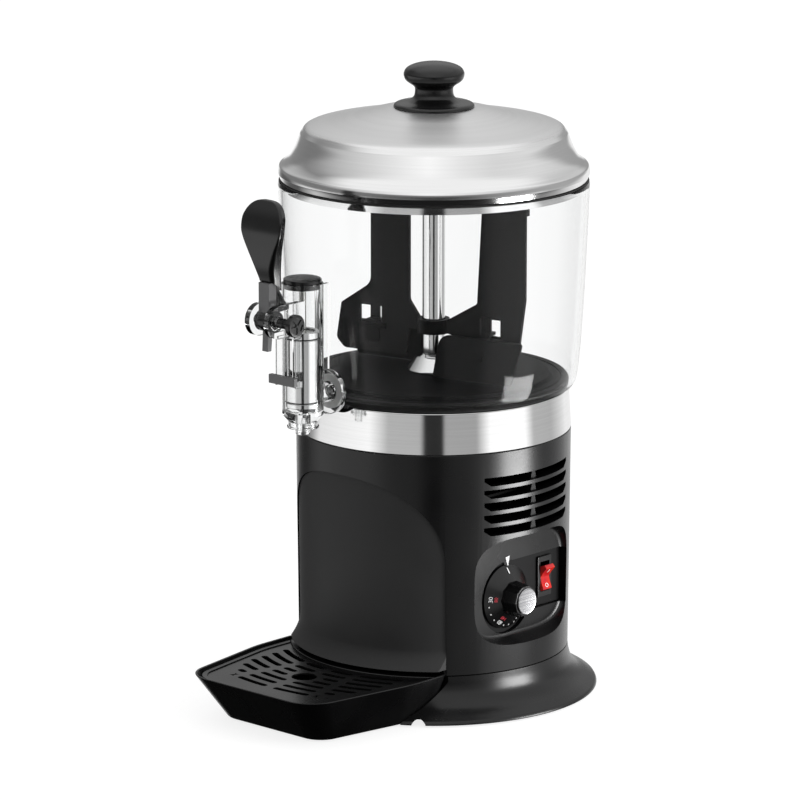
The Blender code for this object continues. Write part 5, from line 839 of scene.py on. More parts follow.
def on_cone(bm, radius, turn):
    """Lays a flat shape, drawn in XY with Y pointing out from the dial's centre, on the dial's cone."""
    share = (SKIRT_R - radius) / (SKIRT_R - GRIP_R)
    x = DIAL_BACK_X + SKIRT_EDGE + CONE_HIGH * share
    bm.transform(Matrix.Rotation(-CONE_SLOPE, 4, "X"))
    bm.transform(Matrix.Translation((0, radius, 0)))
    bm.transform(Matrix.Rotation(-turn, 4, "Z"))
    lay(bm, "X").transform(Matrix.Translation((x + MARK_THICK, DIAL_Y, DIAL_Z)))
    return bm


def dash(wide, high):
    """A short thin stroke."""
    return bar((-wide / 2, wide / 2), (-high / 2, high / 2), (-MARK_THICK, MARK_THICK))


def digits(text, size):
    """A number as a thin solid, centred on its middle."""
    curve = bpy.data.curves.new("digits", "FONT")
    curve.body = text
    curve.size = size
    curve.align_x = "CENTER"
    curve.align_y = "CENTER"
    curve.extrude = MARK_THICK
    curve.resolution_u = 3
    obj = placed("digits", curve)
    mesh = bpy.data.meshes.new_from_object(obj.evaluated_get(bpy.context.evaluated_depsgraph_get()))
    bm = bmesh.new()
    bm.from_mesh(mesh)
    bpy.data.objects.remove(obj)
    return bm


DOT = 0.001
DOT_TURNS = (259, 242, 226, 208, 193, 178, 162, 156)
DOT_R, LAST_DOT_R = 0.0226, 0.0206
NUMBERS = ((275, "80", "30"), (210, "140", "60"))
white_marks = [on_cone(dash(DOT, 0.005), 0.0216, math.radians(-1.5))]
for degrees in DOT_TURNS:
    radius = DOT_R if degrees > DOT_TURNS[-1] else LAST_DOT_R
    white_marks.append(on_cone(dash(DOT, DOT), radius, math.radians(degrees)))
red_marks = []
for degrees, inner, outer in NUMBERS:
    white_marks.append(on_cone(digits(outer, 0.0050), 0.0212, math.radians(degrees)))
    red_marks.append(on_cone(digits(inner, 0.0040), 0.0175, math.radians(degrees)))
show(solid(joined(*white_marks), "dial_scale_white"), WHITE, "dial", "silver_cap")
show(solid(joined(*red_marks), "dial_scale_red"), RED_PRINT, "dial", "red_rocker")
pointer_line = near(DIAL_Y, 0, (0.0002, 0.1143), (0.0008, 0.1143), (0.0024, 0.1218), (-0.0022, 0.1213))
pointer = solid(pulled(pointer_line, SCOOP_FLOOR_X - 0.0030, SCOOP_FLOOR_X + 0.0004, "X"), "dial_pointer")
show(pointer, WHITE, "machine", "silver_cap")

# %% [markdown]
# ## The switch
#
# The switch is a rocker in a black bezel. The body behind the plate is as deep as the contacts need, and the key is a
# bent bar whose side outline is drawn once and pulled across, then turned to the side that is pressed in.

# %% Switch
BEZEL_X = PANEL_X + HAIR
BEZEL_THICK = 0.002
SWITCH_BACK_X = 0.064
WELL_X = 0.0773
bezel_line = box_outline(0.0081, 0.0165, 0.0008, (SWITCH_Y, SWITCH_Z))
bezel = solid(pulled(bezel_line, BEZEL_X, BEZEL_X + BEZEL_THICK, "X"), "switch_bezel")
soften(bezel, 0.0005, 2)
join(bezel, at_switch((SWITCH_BACK_X, BEZEL_X + 0.001), 0.0066, 0.014))
cut(bezel, at_switch((WELL_X, 0.1), 0.0054, 0.0122))
show(bezel, GLOSS, "machine", "black_gloss_trim", "switch_body")

ROCKER_TURN = math.radians(20)
rocker_line = [
    (0.0024, 0.0), (0.0040, 0.0040), (0.0071, 0.0089), (0.0060, 0.0099), (0.0044, 0.0111), (-0.0045, 0.0056),
    (-0.0045, -0.0056), (0.0044, -0.0111), (0.0060, -0.0099), (0.0071, -0.0089), (0.0040, -0.0040),
]
KEY_HALF = 0.0051
FACE_SLOPE = 0.63
FACE_LEAN = math.radians(32)


def in_switch(bm):
    """Turns a shape with the rocker and moves it into the switch."""
    bm.transform(Matrix.Rotation(ROCKER_TURN / 2, 4, "Y"))
    bm.transform(Matrix.Translation((PANEL_X, SWITCH_Y, SWITCH_Z)))
    return bm


def on_rocker(bm, z, lean):
    """Lays a flat mark on one of the rocker's two faces."""
    lay(bm, "X").transform(Matrix.Rotation(lean, 4, "Y"))
    bm.transform(Matrix.Translation((0.0041 + (abs(z) - 0.0040) * FACE_SLOPE, 0, z)))
    return in_switch(bm)


rocker = solid(in_switch(along_y(rocker_line, -KEY_HALF, KEY_HALF)), "rocker_key")
soften(rocker, 0.0004, 3)
show(rocker, ROCKER_RED, "rocker", "red_rocker", "rocker")
rocker_marks = joined(on_rocker(dash(0.0010, 0.0036), 0.0058, FACE_LEAN),
                      on_rocker(digits("O", 0.0048), -0.0064, -FACE_LEAN))
show(solid(rocker_marks, "rocker_marks"), WHITE, "rocker", "silver_cap")

# %% [markdown]
# ## The steel band and the hotplate
#
# A polished band hides the gap between the housing and the bowl. The coated plate inside it is what the bowl's
# gasket grips, so chocolate lies right on the warm metal. Both are spun; a small arc is cut from the band's front,
# where the tap's flange hangs down.

# %% Band and hotplate
BAND_TOP_R = 0.107
BAND_TOP_Z = 0.2452
SHEET = 0.0012
BAND_IN_R = 0.1018
band_low = HOUSING_TOP_Z + HAIR
HOT_RIM_Z = 0.2526
HOT_TOP_Z = 0.2558
HOT_WALL = 0.0032
HOT_BORE_R = 0.0083
HOT_LOW_Z = 0.2125
band_line = near(HOUSING_TOP_R, band_low, (-0.0004, 0), (0, 0.0004))
band_line += near(BAND_TOP_R, BAND_TOP_Z, (0.0002, -0.001), (-0.0003, -0.0002), (-0.0012, 0))
band_line += [(BAND_IN_R, BAND_TOP_Z), (BAND_IN_R, BAND_TOP_Z - SHEET), (BAND_TOP_R - SHEET, BAND_TOP_Z - SHEET),
              (HOUSING_TOP_R - SHEET, band_low)]
band = solid(spun(band_line, 192), "polished_band")
cut(band, rod(0.02, -0.115, -0.06, 96, (0, 0, 0.26), "Y"))
show(band, STEEL, "machine", "polished_steel", "steel_band")

hot_line = [
    (HOT_BORE_R, HOT_TOP_Z), (0.0900, HOT_TOP_Z), (0.0918, HOT_TOP_Z - 0.0004), (0.0938, HOT_RIM_Z + 0.0004),
    (0.0952, HOT_RIM_Z), (0.0993, HOT_RIM_Z), (0.1005, HOT_RIM_Z - 0.0010), (0.1005, HOT_LOW_Z), (0.0983, HOT_LOW_Z),
    (0.0983, HOT_RIM_Z - HOT_WALL), (0.0909, HOT_RIM_Z - HOT_WALL), (0.0893, HOT_TOP_Z - HOT_WALL),
    (HOT_BORE_R, HOT_TOP_Z - HOT_WALL),
]
hot = solid(spun(hot_line, 160), "heated_plate")
show(hot, COATING, "machine", "coated_plate", "hotplate")

# %% [markdown]
# ## The column
#
# The steel column stands in the middle of the plate and carries the drive shaft up through the chocolate, so no
# seal is needed below the liquid. It is turned, with a coned foot that spreads the clamping load.

# %% Column
COLUMN_TOP_Z = 0.384
SHAFT_R = 0.004
foot = HOT_TOP_Z + HAIR
column_line = near(
    0, foot, (0.008, 0), (0.0205, 0), (0.0212, 0.0006), (0.0212, 0.0017), (0.0206, 0.0024), (0.015, 0.0115),
    (0.0142, 0.0125), (0.01, 0.0138), (0.009, 0.0148))
column_line += near(0, COLUMN_TOP_Z, (0.009, -0.0005), (0.0085, 0), (0.0065, 0)) + [(0.0065, 0.2418), (0.008, 0.2418)]
column = solid(spun(column_line, 96), "stirrer_column")
show(column, STEEL, "machine", "polished_steel", "column")
shaft = solid(rod(SHAFT_R, 0.176, 0.385, 48), "stirrer_shaft")
join(shaft, bar((-0.0028, 0.0028), (-0.0028, 0.0028), (0.38, 0.399)))
show(shaft, STEEL, "shaft", "polished_steel", "drive_shaft")

# %% [markdown]
# ## The bowl
#
# The bowl is blown or moulded in clear plastic, with its mouth at the bottom: it has no floor of its own, and the
# gasket round its lower edge seals it on the plate. Its wall swells gently outwards. A spun wall of real thickness
# bends light at its edges as the real one does.

# %% Bowl
BOWL_TOP_R = 0.1226
BOWL_TOP_Z = 0.4094
BOWL_FOOT_R = 0.1121
BOWL_FOOT_Z = 0.2498
BOWL_LOW_Z = 0.2475
BOWL_WALL = 0.003
BOWL_MOUTH_R = 0.105
SWELL = 0.55
SPIGOT_HOLE_R = 0.0081
LUG_X = 0.0085
LUG_HALF = 0.0035
SPIGOT_Z = 0.259
spigot_at = (0, 0, SPIGOT_Z)


def bowl_r(z):
    """The bowl's outer radius at a height."""
    share = max(0.0, (z - BOWL_FOOT_Z) / (BOWL_TOP_Z - BOWL_FOOT_Z))
    return BOWL_FOOT_R + (BOWL_TOP_R - BOWL_FOOT_R) * share ** SWELL


shares = (0.0, 0.006, 0.02, 0.05, 0.1, 0.17, 0.26, 0.38, 0.52, 0.68, 0.84, 0.95, 0.976, 0.985)
bowl_line = [(BOWL_MOUTH_R, BOWL_LOW_Z), *near(BOWL_FOOT_R, BOWL_LOW_Z, (-0.0024, 0), (-0.001, 0.0005))]
bowl_line += [(bowl_r(z), z) for z in (BOWL_FOOT_Z + (BOWL_TOP_Z - BOWL_FOOT_Z) * s for s in shares)]
bowl_in = [(r - BOWL_WALL, z) for r, z in bowl_line[4:]]
bowl_profile = bowl_line + [(BOWL_TOP_R - 0.0007, BOWL_TOP_Z), (BOWL_TOP_R - BOWL_WALL + 0.0007, BOWL_TOP_Z)]
bowl_profile += list(reversed(bowl_in))
bowl_profile += [(BOWL_FOOT_R - BOWL_WALL - 0.0006, BOWL_LOW_Z + BOWL_WALL), (BOWL_MOUTH_R, BOWL_LOW_Z + BOWL_WALL)]
bowl = solid(spun(bowl_profile, 160), "clear_bowl")
cut(bowl, rod(SPIGOT_HOLE_R, -0.13, -0.06, 48, spigot_at, "Y", True))
for x in (-LUG_X, LUG_X):
    lug = [(x - LUG_HALF, BOWL_LOW_Z + GAP, 0), (x + LUG_HALF, BOWL_LOW_Z + GAP, 0), (x, BOWL_LOW_Z - 0.0045, 0.0012)]
    join(bowl, along_y(rounded(lug, 4), -0.1104, -0.1080))
show(bowl, CLEAR, "bowl", "clear_plastic", "bowl")

gasket_line = [
    (0.1011, BAND_TOP_Z + HAIR), (0.1060, BAND_TOP_Z + HAIR), (0.1070, BAND_TOP_Z + 0.0008), (0.1070, 0.2472),
    (0.1047, 0.2472), (0.1047, 0.2508), (0.1070, 0.2508), (0.1072, 0.2514), (0.1062, 0.2526), (0.1011, 0.2526),
]
gasket = solid(spun(gasket_line, 160), "rim_gasket")
show(gasket, RUBBER, "bowl", "black_rubber", "bowl_gasket")

# %% [markdown]
# ## The lid
#
# The lid is deep-drawn from thin polished sheet: a low dome, a crisp shoulder and a flared skirt that gets nearly
# upright and is drawn in a little where it stands on the bowl's rim. The outer line is drawn once, the inner one is
# the same line moved in by the sheet's thickness, and both are spun.

# %% Lid
LID_LOW_Z = 0.411
SHOULDER_R = 0.102
SHOULDER_Z = 0.4497
CONE_R = 0.1055
CONE_Z = 0.4453
LID_TOP_Z = 0.4668
SEAT_R = 0.033
LID_SHEET = 0.0009
LID_HOLE_R = 0.0032
DOME = ((0.0, 1.0), (0.175, 0.88), (0.39, 0.655), (0.68, 0.397), (0.90, 0.216), (0.985, 0.10))
FLARE = ((0.03, 0.97), (0.22, 0.72), (0.47, 0.495), (0.72, 0.375), (0.90, 0.320), (0.945, 0.290))
UPRIGHT = ((0.0006, 0.0088), (0.0002, 0.0068), (0.0, 0.0050))
LIP = ((0.0003, 0.0044), (0.0009, 0.0026), (0.0018, 0.0))
dome_line = [(SEAT_R + (SHOULDER_R - SEAT_R) * a, SHOULDER_Z + (LID_TOP_Z - SHOULDER_Z) * b) for a, b in DOME]
cone_line = [(CONE_R + (BOWL_TOP_R - CONE_R) * a, LID_LOW_Z + (CONE_Z - LID_LOW_Z) * b) for a, b in FLARE]
flat_line = [(LID_HOLE_R, LID_TOP_Z), (0.02, LID_TOP_Z)]
lid_line = smooth_line(flat_line + dome_line + [(SHOULDER_R + 0.0012, SHOULDER_Z - 0.0006)], 5)
lid_line += smooth_line([(CONE_R - 0.0006, (SHOULDER_Z + CONE_Z) / 2 - 0.0006)] + cone_line, 6)
lid_line += smooth_line([(BOWL_TOP_R - inset, LID_LOW_Z + high) for inset, high in UPRIGHT], 3)
lid_line += [(BOWL_TOP_R - inset, LID_LOW_Z + high) for inset, high in LIP]
lid_in = offset(lid_line[:-1], -LID_SHEET)
lid_in = [(max(r, LID_HOLE_R), min(z, LID_TOP_Z - LID_SHEET)) for r, z in lid_in if z > LID_LOW_Z + 0.0015]
lid = solid(spun(lid_line + [(BOWL_TOP_R - 0.0026, LID_LOW_Z)] + list(reversed(lid_in)), 192), "steel_lid")
show(lid, LID_STEEL, "lid", "polished_steel", "lid")

# %% [markdown]
# ## The lid's ring, seal and knob
#
# A rolled ring inside the bowl's mouth centres the lid, and a thin seal lies on the rim. The knob is a turned black
# moulding with a wide foot, because steam makes the lid hot and the fingers stay away from the steel.

# %% Lid fittings
ring_line = [
    (0.1168, 0.4037), (0.1172, 0.4035), (0.1178, 0.4037), (0.1178, 0.4110), (0.1186, 0.4110), (0.1186, 0.4120),
    (0.1168, 0.4120),
]
show(solid(spun(ring_line, 160), "lid_inner_ring"), STEEL, "lid", "polished_steel", "lid_ring")
seal_line = [(0.1181, 0.4097), (0.1216, 0.4097), (0.1216, 0.4107), (0.1181, 0.4107)]
show(solid(spun(seal_line, 160), "lid_rim_seal"), RUBBER, "lid", "black_rubber", "lid_seal")

KNOB_LOW = LID_TOP_Z + HAIR
KNOB_HIGH = 0.0355
KNOB_R = 0.0317
KNOB_HOLE_R = 0.0022
KNOB_HOLE_Z = KNOB_LOW + 0.0118
KNOB = (
    (0.0, 1.0), (0.03, 1.0), (0.055, 0.985), (0.085, 0.93), (0.11, 0.80), (0.14, 0.66), (0.22, 0.51), (0.36, 0.473),
    (0.46, 0.50), (0.56, 0.655), (0.62, 0.72), (0.70, 0.75), (0.77, 0.745), (0.86, 0.68), (0.93, 0.53), (0.975, 0.33),
    (1.0, 0.10),
)
knob_points = [(KNOB_R * wide, KNOB_LOW + KNOB_HIGH * high) for high, wide in KNOB[1:]]
knob_line = [(KNOB_HOLE_R, KNOB_LOW), (KNOB_R, KNOB_LOW)] + smooth_line(knob_points, 4)
knob_line += [(0, KNOB_LOW + KNOB_HIGH), (0, KNOB_HOLE_Z), (KNOB_HOLE_R, KNOB_HOLE_Z)]
show(solid(spun(knob_line, 96), "lid_handle"), GLOSS, "lid", "black_gloss_trim", "lid_knob")

# %% [markdown]
# ## The drip tray and its grid
#
# The tray is a tapered box with soft corners and a rounded rim, drawn from ring to ring so that its corners can get
# rounder towards the top. Behind the grid it has a small deck that follows the cover's foot.

# %% Tray
TRAY_FRONT = 0.2138
TRAY_FOOT_FRONT = 0.1895
TRAY_WALL = 0.002
GRID_TOP_Z = 0.036
GRID_LOW_Z = 0.0338
LEDGE_Z = GRID_LOW_Z - HAIR
RIM_Z = 0.0377
TAP_Y = -0.149


def tray_outline(share, shrink=0.0, steps=10):
    """The tray's outline at a share of its height, moved in by a distance."""
    half = TRAY_FOOT_HALF + (TRAY_HALF - TRAY_FOOT_HALF) * share
    front = TRAY_FOOT_FRONT + (TRAY_FRONT - TRAY_FOOT_FRONT) * share
    bend = TRAY_REAR + (front - TRAY_REAR) * 0.32
    corner = front - (TRAY_HALF - half) * 0.1
    right = [(half, -TRAY_REAR, 0.009 * (0.6 + 0.4 * share)), (half, -bend, 0.100 * (0.5 + 0.5 * share)),
             (half * 0.80, -corner, 0.026 * (0.7 + 0.3 * share))]
    points = rounded([(-x, y, r) for x, y, r in reversed(right)] + right, steps)
    if shrink == 0:
        return points
    return offset([points[-1], *points, points[0]], -shrink)[1:-1]


def tray_ring(z, shrink=0.0):
    """The tray's outline laid at its own height."""
    share = (z - TRAY_LOW_Z) / (TRAY_TOP_Z - TRAY_LOW_Z)
    return [(x, y, z) for x, y in tray_outline(share, shrink)]


TRAY_RINGS = (
    (TRAY_LOW_Z, 0.0012), (TRAY_LOW_Z + 0.0004, 0.0004), (TRAY_LOW_Z + 0.0012, 0.0), (0.010, 0.0), (0.020, 0.0),
    (0.030, 0.0), (0.0371, 0.0), (RIM_Z, 0.0003), (TRAY_TOP_Z, 0.0008), (TRAY_TOP_Z, TRAY_WALL - 0.0005),
    (RIM_Z, TRAY_WALL), (LEDGE_Z, TRAY_WALL), (LEDGE_Z, 0.0055), (0.008, 0.0055), (0.0045, 0.0065), (0.0035, 0.009),
)
tray = solid(lofted([tray_ring(z, shrink) for z, shrink in TRAY_RINGS]), "spill_tray")
GRID_REAR_R = housing_r(CREASE_Z) - RECESS + LIP_OUT + 0.001
DECK_LOW_Z = 0.0315
deck_r = GRID_REAR_R - 0.0005
step_r = deck_r + 0.0035
deck_line = [(0, DECK_LOW_Z), (step_r, DECK_LOW_Z), (step_r, LEDGE_Z), (deck_r, LEDGE_Z),
             (deck_r, GRID_TOP_Z - 0.0004), (deck_r - 0.0004, GRID_TOP_Z), (0, GRID_TOP_Z)]
deck = solid(spun(deck_line), "deck")
cross(deck, lofted([tray_ring(z, TRAY_WALL / 2) for z in (0.005, 0.0375)]))
join(tray, deck)
show(tray, SATIN, "tray", "black_moulding", "drip_tray")

# %% [markdown]
# ## The grid
#
# The grid lies on the tray's ledge: a raised border, then a slightly sunk panel with slots that follow circles round
# the machine, and a round hole under the tap. Rings make the stepped border, and each row of slots is cut at once.

# %% Grid
SLOT_WIDE = 0.0052
GRID_ROWS = 7
FIRST_R = 0.187
ROW_PITCH = 0.0108
HOLE_R = 0.010
BRIDGE = 0.0025
RIM = 0.012
OUTER_AT = math.radians(14)
INNER_TO = math.radians(11.6)


def around(ring_r, angle):
    """A place on a ring, the angle counted from the front towards the controls."""
    return (ring_r * math.sin(angle), -ring_r * math.cos(angle))


def arc_slot(radius, start, stop, steps=8):
    """A slot that follows a circle round the machine's axis, with round ends."""
    half = SLOT_WIDE / 2
    end_steps = 6
    outer, inner, end_a, end_b = [], [], [], []
    for k in range(steps + 1):
        angle = start + (stop - start) * k / steps
        outer.append(around(radius + half, angle))
        inner.append(around(radius - half, angle))
    for k in range(1, end_steps):
        turn = math.pi * k / end_steps
        reach = half * math.sin(turn) / radius
        out = half * math.cos(turn)
        end_b.append(around(radius + out, stop + reach))
        end_a.append(around(radius - out, start - reach))
    return pulled([*outer, *end_b, *reversed(inner), *end_a], GRID_LOW_Z - OVER, GRID_TOP_Z + OVER)


def slot_spans(row, radius):
    """The slots of one row, as angle spans on the +X side; the -X side mirrors them."""
    edge = SLOT_WIDE / 2 / radius
    hole_gap = HOLE_R + BRIDGE + SLOT_WIDE / 2
    reach = hole_gap ** 2 - (radius + TAP_Y) ** 2
    start = math.asin(math.sqrt(reach) / radius) if reach > 0 else 0
    inner_from = max(start, BRIDGE / 2 / radius + edge)
    sides = math.asin(min(1, (TRAY_HALF - RIM) / radius))
    share = row / (GRID_ROWS - 1)
    front_cut = math.asin((TRAY_HALF * (0.66 + 0.25 * min(1, share * 2.4)) - RIM) / radius)
    return [(inner_from + edge, INNER_TO - edge), (OUTER_AT + edge, min(sides, front_cut) - edge)]


def grid_ring(z, inset):
    """The grid's outline, moved in by a distance."""
    share = (GRID_LOW_Z - HAIR - TRAY_LOW_Z) / (TRAY_TOP_Z - TRAY_LOW_Z)
    return [(x, y, z) for x, y in tray_outline(share, TRAY_WALL + 0.0005 + inset)]


GRID_RINGS = ((GRID_LOW_Z, 0.0), (GRID_TOP_Z - 0.0004, 0.0), (GRID_TOP_Z, 0.0004), (GRID_TOP_Z, 0.004),
              (GRID_TOP_Z - 0.0003, 0.0044), (GRID_TOP_Z - 0.0009, 0.0048))
tap_at = (0, TAP_Y, 0)
grid = solid(lofted([grid_ring(z, inset) for z, inset in GRID_RINGS]), "slotted_grid")
cut(grid, rod(GRID_REAR_R, 0.03, 0.04, 160))
for row in range(GRID_ROWS):
    radius = FIRST_R - row * ROW_PITCH
    row_slots = []
    for start, stop in slot_spans(row, radius):
        row_slots += [arc_slot(radius, start, stop), arc_slot(radius, -stop, -start)]
    cut(grid, joined(*row_slots))
cut(grid, rod(HOLE_R, 0.03, 0.04, 48, tap_at))
soften(grid, 0.0003, 2, math.radians(50))
show(grid, SATIN, "grid", "black_moulding", "drip_grid")

# %% [markdown]
# ## The tap
#
# The tap is a clear barrel with a steel piston in it. The ears that hold the lever, the bar's guide and the fin behind
# the barrel are all one clear moulding, so the barrel is built up from spun and pulled shapes and then bored. The
# holes are cut last, because a joined shape would close them again.

# %% Tap barrel
BARREL_R = 0.0162
BORE_R = 0.014
BARREL_TOP_Z = 0.3496
PIN_Y = -0.187
PIN_Z = 0.3255
EAR_R = 0.0127
SLOT_HALF = 0.0045
EAR_IN_X, EAR_OUT_X = 0.0075, 0.0125
GUIDE_IN_X, GUIDE_OUT_X = 0.0094, 0.011
SPIGOT_R = 0.0078
SPIGOT_BORE_R = 0.005
FLANGE_R = 0.0175
FLANGE_Y = -0.1185
lever_at = (0, PIN_Y, PIN_Z)
barrel_line = [
    (0, 0.2303), (0.0055, 0.2303), (0.0058, 0.2306), (0.0058, 0.2402), (0.0096, 0.2402), (0.0096, 0.2355),
    (0.0122, 0.2355), (0.0124, 0.2358), (0.0124, 0.2368), (0.0116, 0.2373), (0.0116, 0.2405), (0.0120, 0.2412),
    (0.0155, 0.2452), (BARREL_R, 0.2468), (BARREL_R, 0.3492), (0.0158, BARREL_TOP_Z), (0, BARREL_TOP_Z),
]
barrel = solid(spun(barrel_line, 96, tap_at), "clear_barrel")
spigot_end = -(bowl_r(SPIGOT_Z) - BOWL_WALL - 0.0005)
spigot_line = [
    (0, -0.142), (SPIGOT_R, -0.142), (SPIGOT_R, -0.124), (0.0170, -0.124), (FLANGE_R, -0.1235), (FLANGE_R, -0.1190),
    (0.0170, FLANGE_Y), (SPIGOT_R, FLANGE_Y), (SPIGOT_R, spigot_end), (0, spigot_end),
]
join(barrel, spun(spigot_line, 64, spigot_at, "Y"))
join(barrel, bar((-0.0015, 0.0015), (-0.142, -0.121), (0.274, 0.345)))
join(barrel, joined(*[bar(x, (-0.168, TAP_Y), (0.2705, 0.309)) for x in
                      ((-GUIDE_OUT_X, -GUIDE_IN_X), (GUIDE_IN_X, GUIDE_OUT_X))]))
back_y, tip_y, ear_round = TAP_Y - 0.007, PIN_Y - EAR_R, EAR_R * 0.998
ear_line = rounded([(back_y, PIN_Z - EAR_R, 0), (back_y, PIN_Z + EAR_R, 0), (tip_y, PIN_Z + EAR_R, ear_round),
                    (tip_y, PIN_Z - EAR_R, ear_round)], 14)
join(barrel, joined(pulled(ear_line, -EAR_OUT_X, -EAR_IN_X, "X"), pulled(ear_line, EAR_IN_X, EAR_OUT_X, "X")))
bore_line = [(0, 0.226), (0.0042, 0.226), (0.0042, 0.2464), (BORE_R, 0.2495), (BORE_R, 0.354), (0, 0.354)]
cut(barrel, spun(bore_line, 96, tap_at, "Z", True))
cut(barrel, rod(SPIGOT_BORE_R, -0.1443, -0.1, 48, spigot_at, "Y", True))
cut(barrel, bar((-0.004, 0.004), (-0.169, TAP_Y), (0.2715, 0.308)))
cut(barrel, bar((-SLOT_HALF, SLOT_HALF), (-0.1662, -0.156), (0.3150, 0.3360)))
cut(barrel, rod(0.0043, -0.018, 0.018, 48, lever_at, "X"))
soften(barrel, 0.0004, 2, math.radians(40))
show(barrel, CLEAR_TAP, "bowl", "clear_plastic", "tap_barrel")

# %% [markdown]
# ## The tap's washer, crown and pin
#
# A pale washer seals the spigot against the bowl's wall, a black crown closes the barrel, and a pin with a wide head
# carries the lever. The head has four hollows that keep its walls thin: they are four turned copies of one outline.

# %% Tap trim
WASHER_R = 0.0135
gasket_y = -(bowl_r(SPIGOT_Z + WASHER_R) + HAIR)
washer = [(SPIGOT_HOLE_R, -0.1182), (WASHER_R, -0.1182), (WASHER_R, gasket_y), (SPIGOT_HOLE_R, gasket_y)]
show(solid(spun(washer, 64, spigot_at, "Y"), "tap_washer"), SILICONE, "bowl", "black_rubber", "tap_gasket")
seat = BARREL_TOP_Z + HAIR
crown_line = near(
    0, seat, (0, -0.0046), (0.0137, -0.0046), (0.0137, 0), (0.0146, 0), (0.0148, 0.0002), (0.0148, 0.0022),
    (0.0146, 0.0027), (0.0135, 0.0033), (0.0105, 0.0037), (0.006, 0.0039), (0, 0.0039))
show(solid(spun(crown_line, 96, tap_at), "tap_crown"), GLOSS, "bowl", "black_gloss_trim", "tap_cap")
pin_line = [
    (0, -0.0140), (0.0036, -0.0140), (0.0040, -0.0136), (0.0040, 0.0256), (0.0080, 0.0260), (0.0088, 0.0268),
    (0.0088, 0.0302), (0.0082, 0.0309), (0.0070, 0.0310), (0, 0.0310),
]
pin = solid(spun(pin_line, 64, lever_at, "X"), "pivot_pin")
HOLLOW_IN, HOLLOW_OUT, HOLLOW_SIDE = 0.0012, 0.0066, 0.32
hollows = []
for k in range(4):
    q = 0.4 + math.pi / 2 * k
    corners = ((HOLLOW_IN, q), (HOLLOW_OUT, q + HOLLOW_SIDE), (HOLLOW_OUT, q + math.pi / 2 - HOLLOW_SIDE),
               (HOLLOW_IN, q + math.pi / 2))
    hollow = [(PIN_Y + a * math.cos(t), PIN_Z + a * math.sin(t)) for a, t in corners]
    hollows.append(pulled(hollow, 0.0302, 0.033, "X"))
cut(pin, joined(*hollows))
show(pin, GLOSS, "bowl", "black_gloss_trim", "lever_pin")

# %% [markdown]
# ## The piston
#
# The piston opens and closes the tap: pressed down it shuts the outlet, lifted it lets the chocolate flow. It is
# turned from steel with two grooves for its rubber rings, hollow for the spring, and a horn at its top takes the
# lever's arm. The grey bar in front of it slides between the guides and shows how far it is lifted.

# %% Piston and bar
PISTON_R = 0.0133
GROOVE_R = 0.01255
GROOVE_HALF = 0.00098
SEALS = ((0.2565, "piston_ring_low", "lower_seal"), (0.3065, "piston_ring_high", "upper_seal"))
SEAL_MEAN_R, SEAL_THICK = 0.013225, 0.0004
SEAL_SIDES = 10
LEVER_SWING = math.radians(34)
LEVER_ARM = 0.026
tip_z = PIN_Z - LEVER_ARM * math.sin(LEVER_SWING / 2)
piston_line = [(0, 0.252), (0.0126, 0.252), (0.0131, 0.2523), (PISTON_R, 0.2528)]
for z, name, node in SEALS:
    low, high = z - GROOVE_HALF, z + GROOVE_HALF
    piston_line += [(PISTON_R, low), (GROOVE_R, low), (GROOVE_R, high), (PISTON_R, high)]
piston_line += [(PISTON_R, 0.3117), (0.0130, 0.312), (0.0098, 0.312), (0.0098, 0.264), (0, 0.264)]
piston = solid(spun(piston_line, 96, tap_at), "steel_piston")
horn = solid(bar((-0.0075, 0.0075), (-0.1663, -0.1591), (0.3085, 0.3245)), "horn")
cross(horn, rod(0.013, 0.25, 0.33, 96, tap_at))
join(piston, horn)
cut(piston, bar((-SLOT_HALF, SLOT_HALF), (-0.1663, -0.1551), (tip_z - 0.0031, tip_z + 0.0031)))
show(piston, STEEL, "piston", "polished_steel", "tap_piston")
for z, name, node in SEALS:
    turns = [math.tau * k / SEAL_SIDES for k in range(SEAL_SIDES)]
    ring = [(SEAL_MEAN_R + SEAL_THICK * math.cos(t), z + SEAL_THICK * math.sin(t)) for t in turns]
    show(solid(spun(ring, 96, tap_at), name), RUBBER, "piston", "black_rubber", node)
slider = solid(pulled(box_outline(0.0137, 0.002, 0.0006, (0, -0.171)), 0.2725, 0.2795), "guide_bar")
soften(slider, 0.0004, 2)
join(slider, bar((-0.003, 0.003), (-0.1705, -0.1626), (0.2743, 0.2777)))
show(slider, STEM_GREY, "piston", "black_gloss_trim", "piston_bar")

# %% [markdown]
# ## The lever
#
# The lever turns on the pin: its handle is pulled forward, and its short arm inside the barrel lifts the piston. The
# grey body is a hub with a stem, a tail that stops it, and the arm. A black web with two holes stiffens the stem.

# %% Lever body
hub_line = [(0.0043, -0.0067), (0.0074, -0.007), (0.0078, -0.0066)]
hub_line += [(r, -x) for r, x in reversed(hub_line)]
TAIL_Z = 0.302
TAIL_TOP_Z = PIN_Z - 0.0043
ARM_HALF = 0.0035
lever = solid(spun(hub_line, 64, lever_at, "X"), "lever_body")
stem_low = PIN_Z + 0.0053
STEM_TOP_Z = 0.3555
join(lever, bar((-0.0055, 0.0055), (-0.1915, -0.1835), (stem_low, STEM_TOP_Z)))
tail_y = PIN_Y - 0.0025
tail = [(tail_y - 0.001, TAIL_Z), (tail_y + 0.003, TAIL_Z), (tail_y + 0.005, TAIL_TOP_Z), (tail_y, TAIL_TOP_Z)]
join(lever, pulled(tail, -0.003, 0.003, "X"))
arm = bar((-ARM_HALF, ARM_HALF), (0.0053, LEVER_ARM), (-0.0021, 0.0021))
arm_tip = rod(0.0026, -ARM_HALF, ARM_HALF, 48, (0, LEVER_ARM, 0), "X")
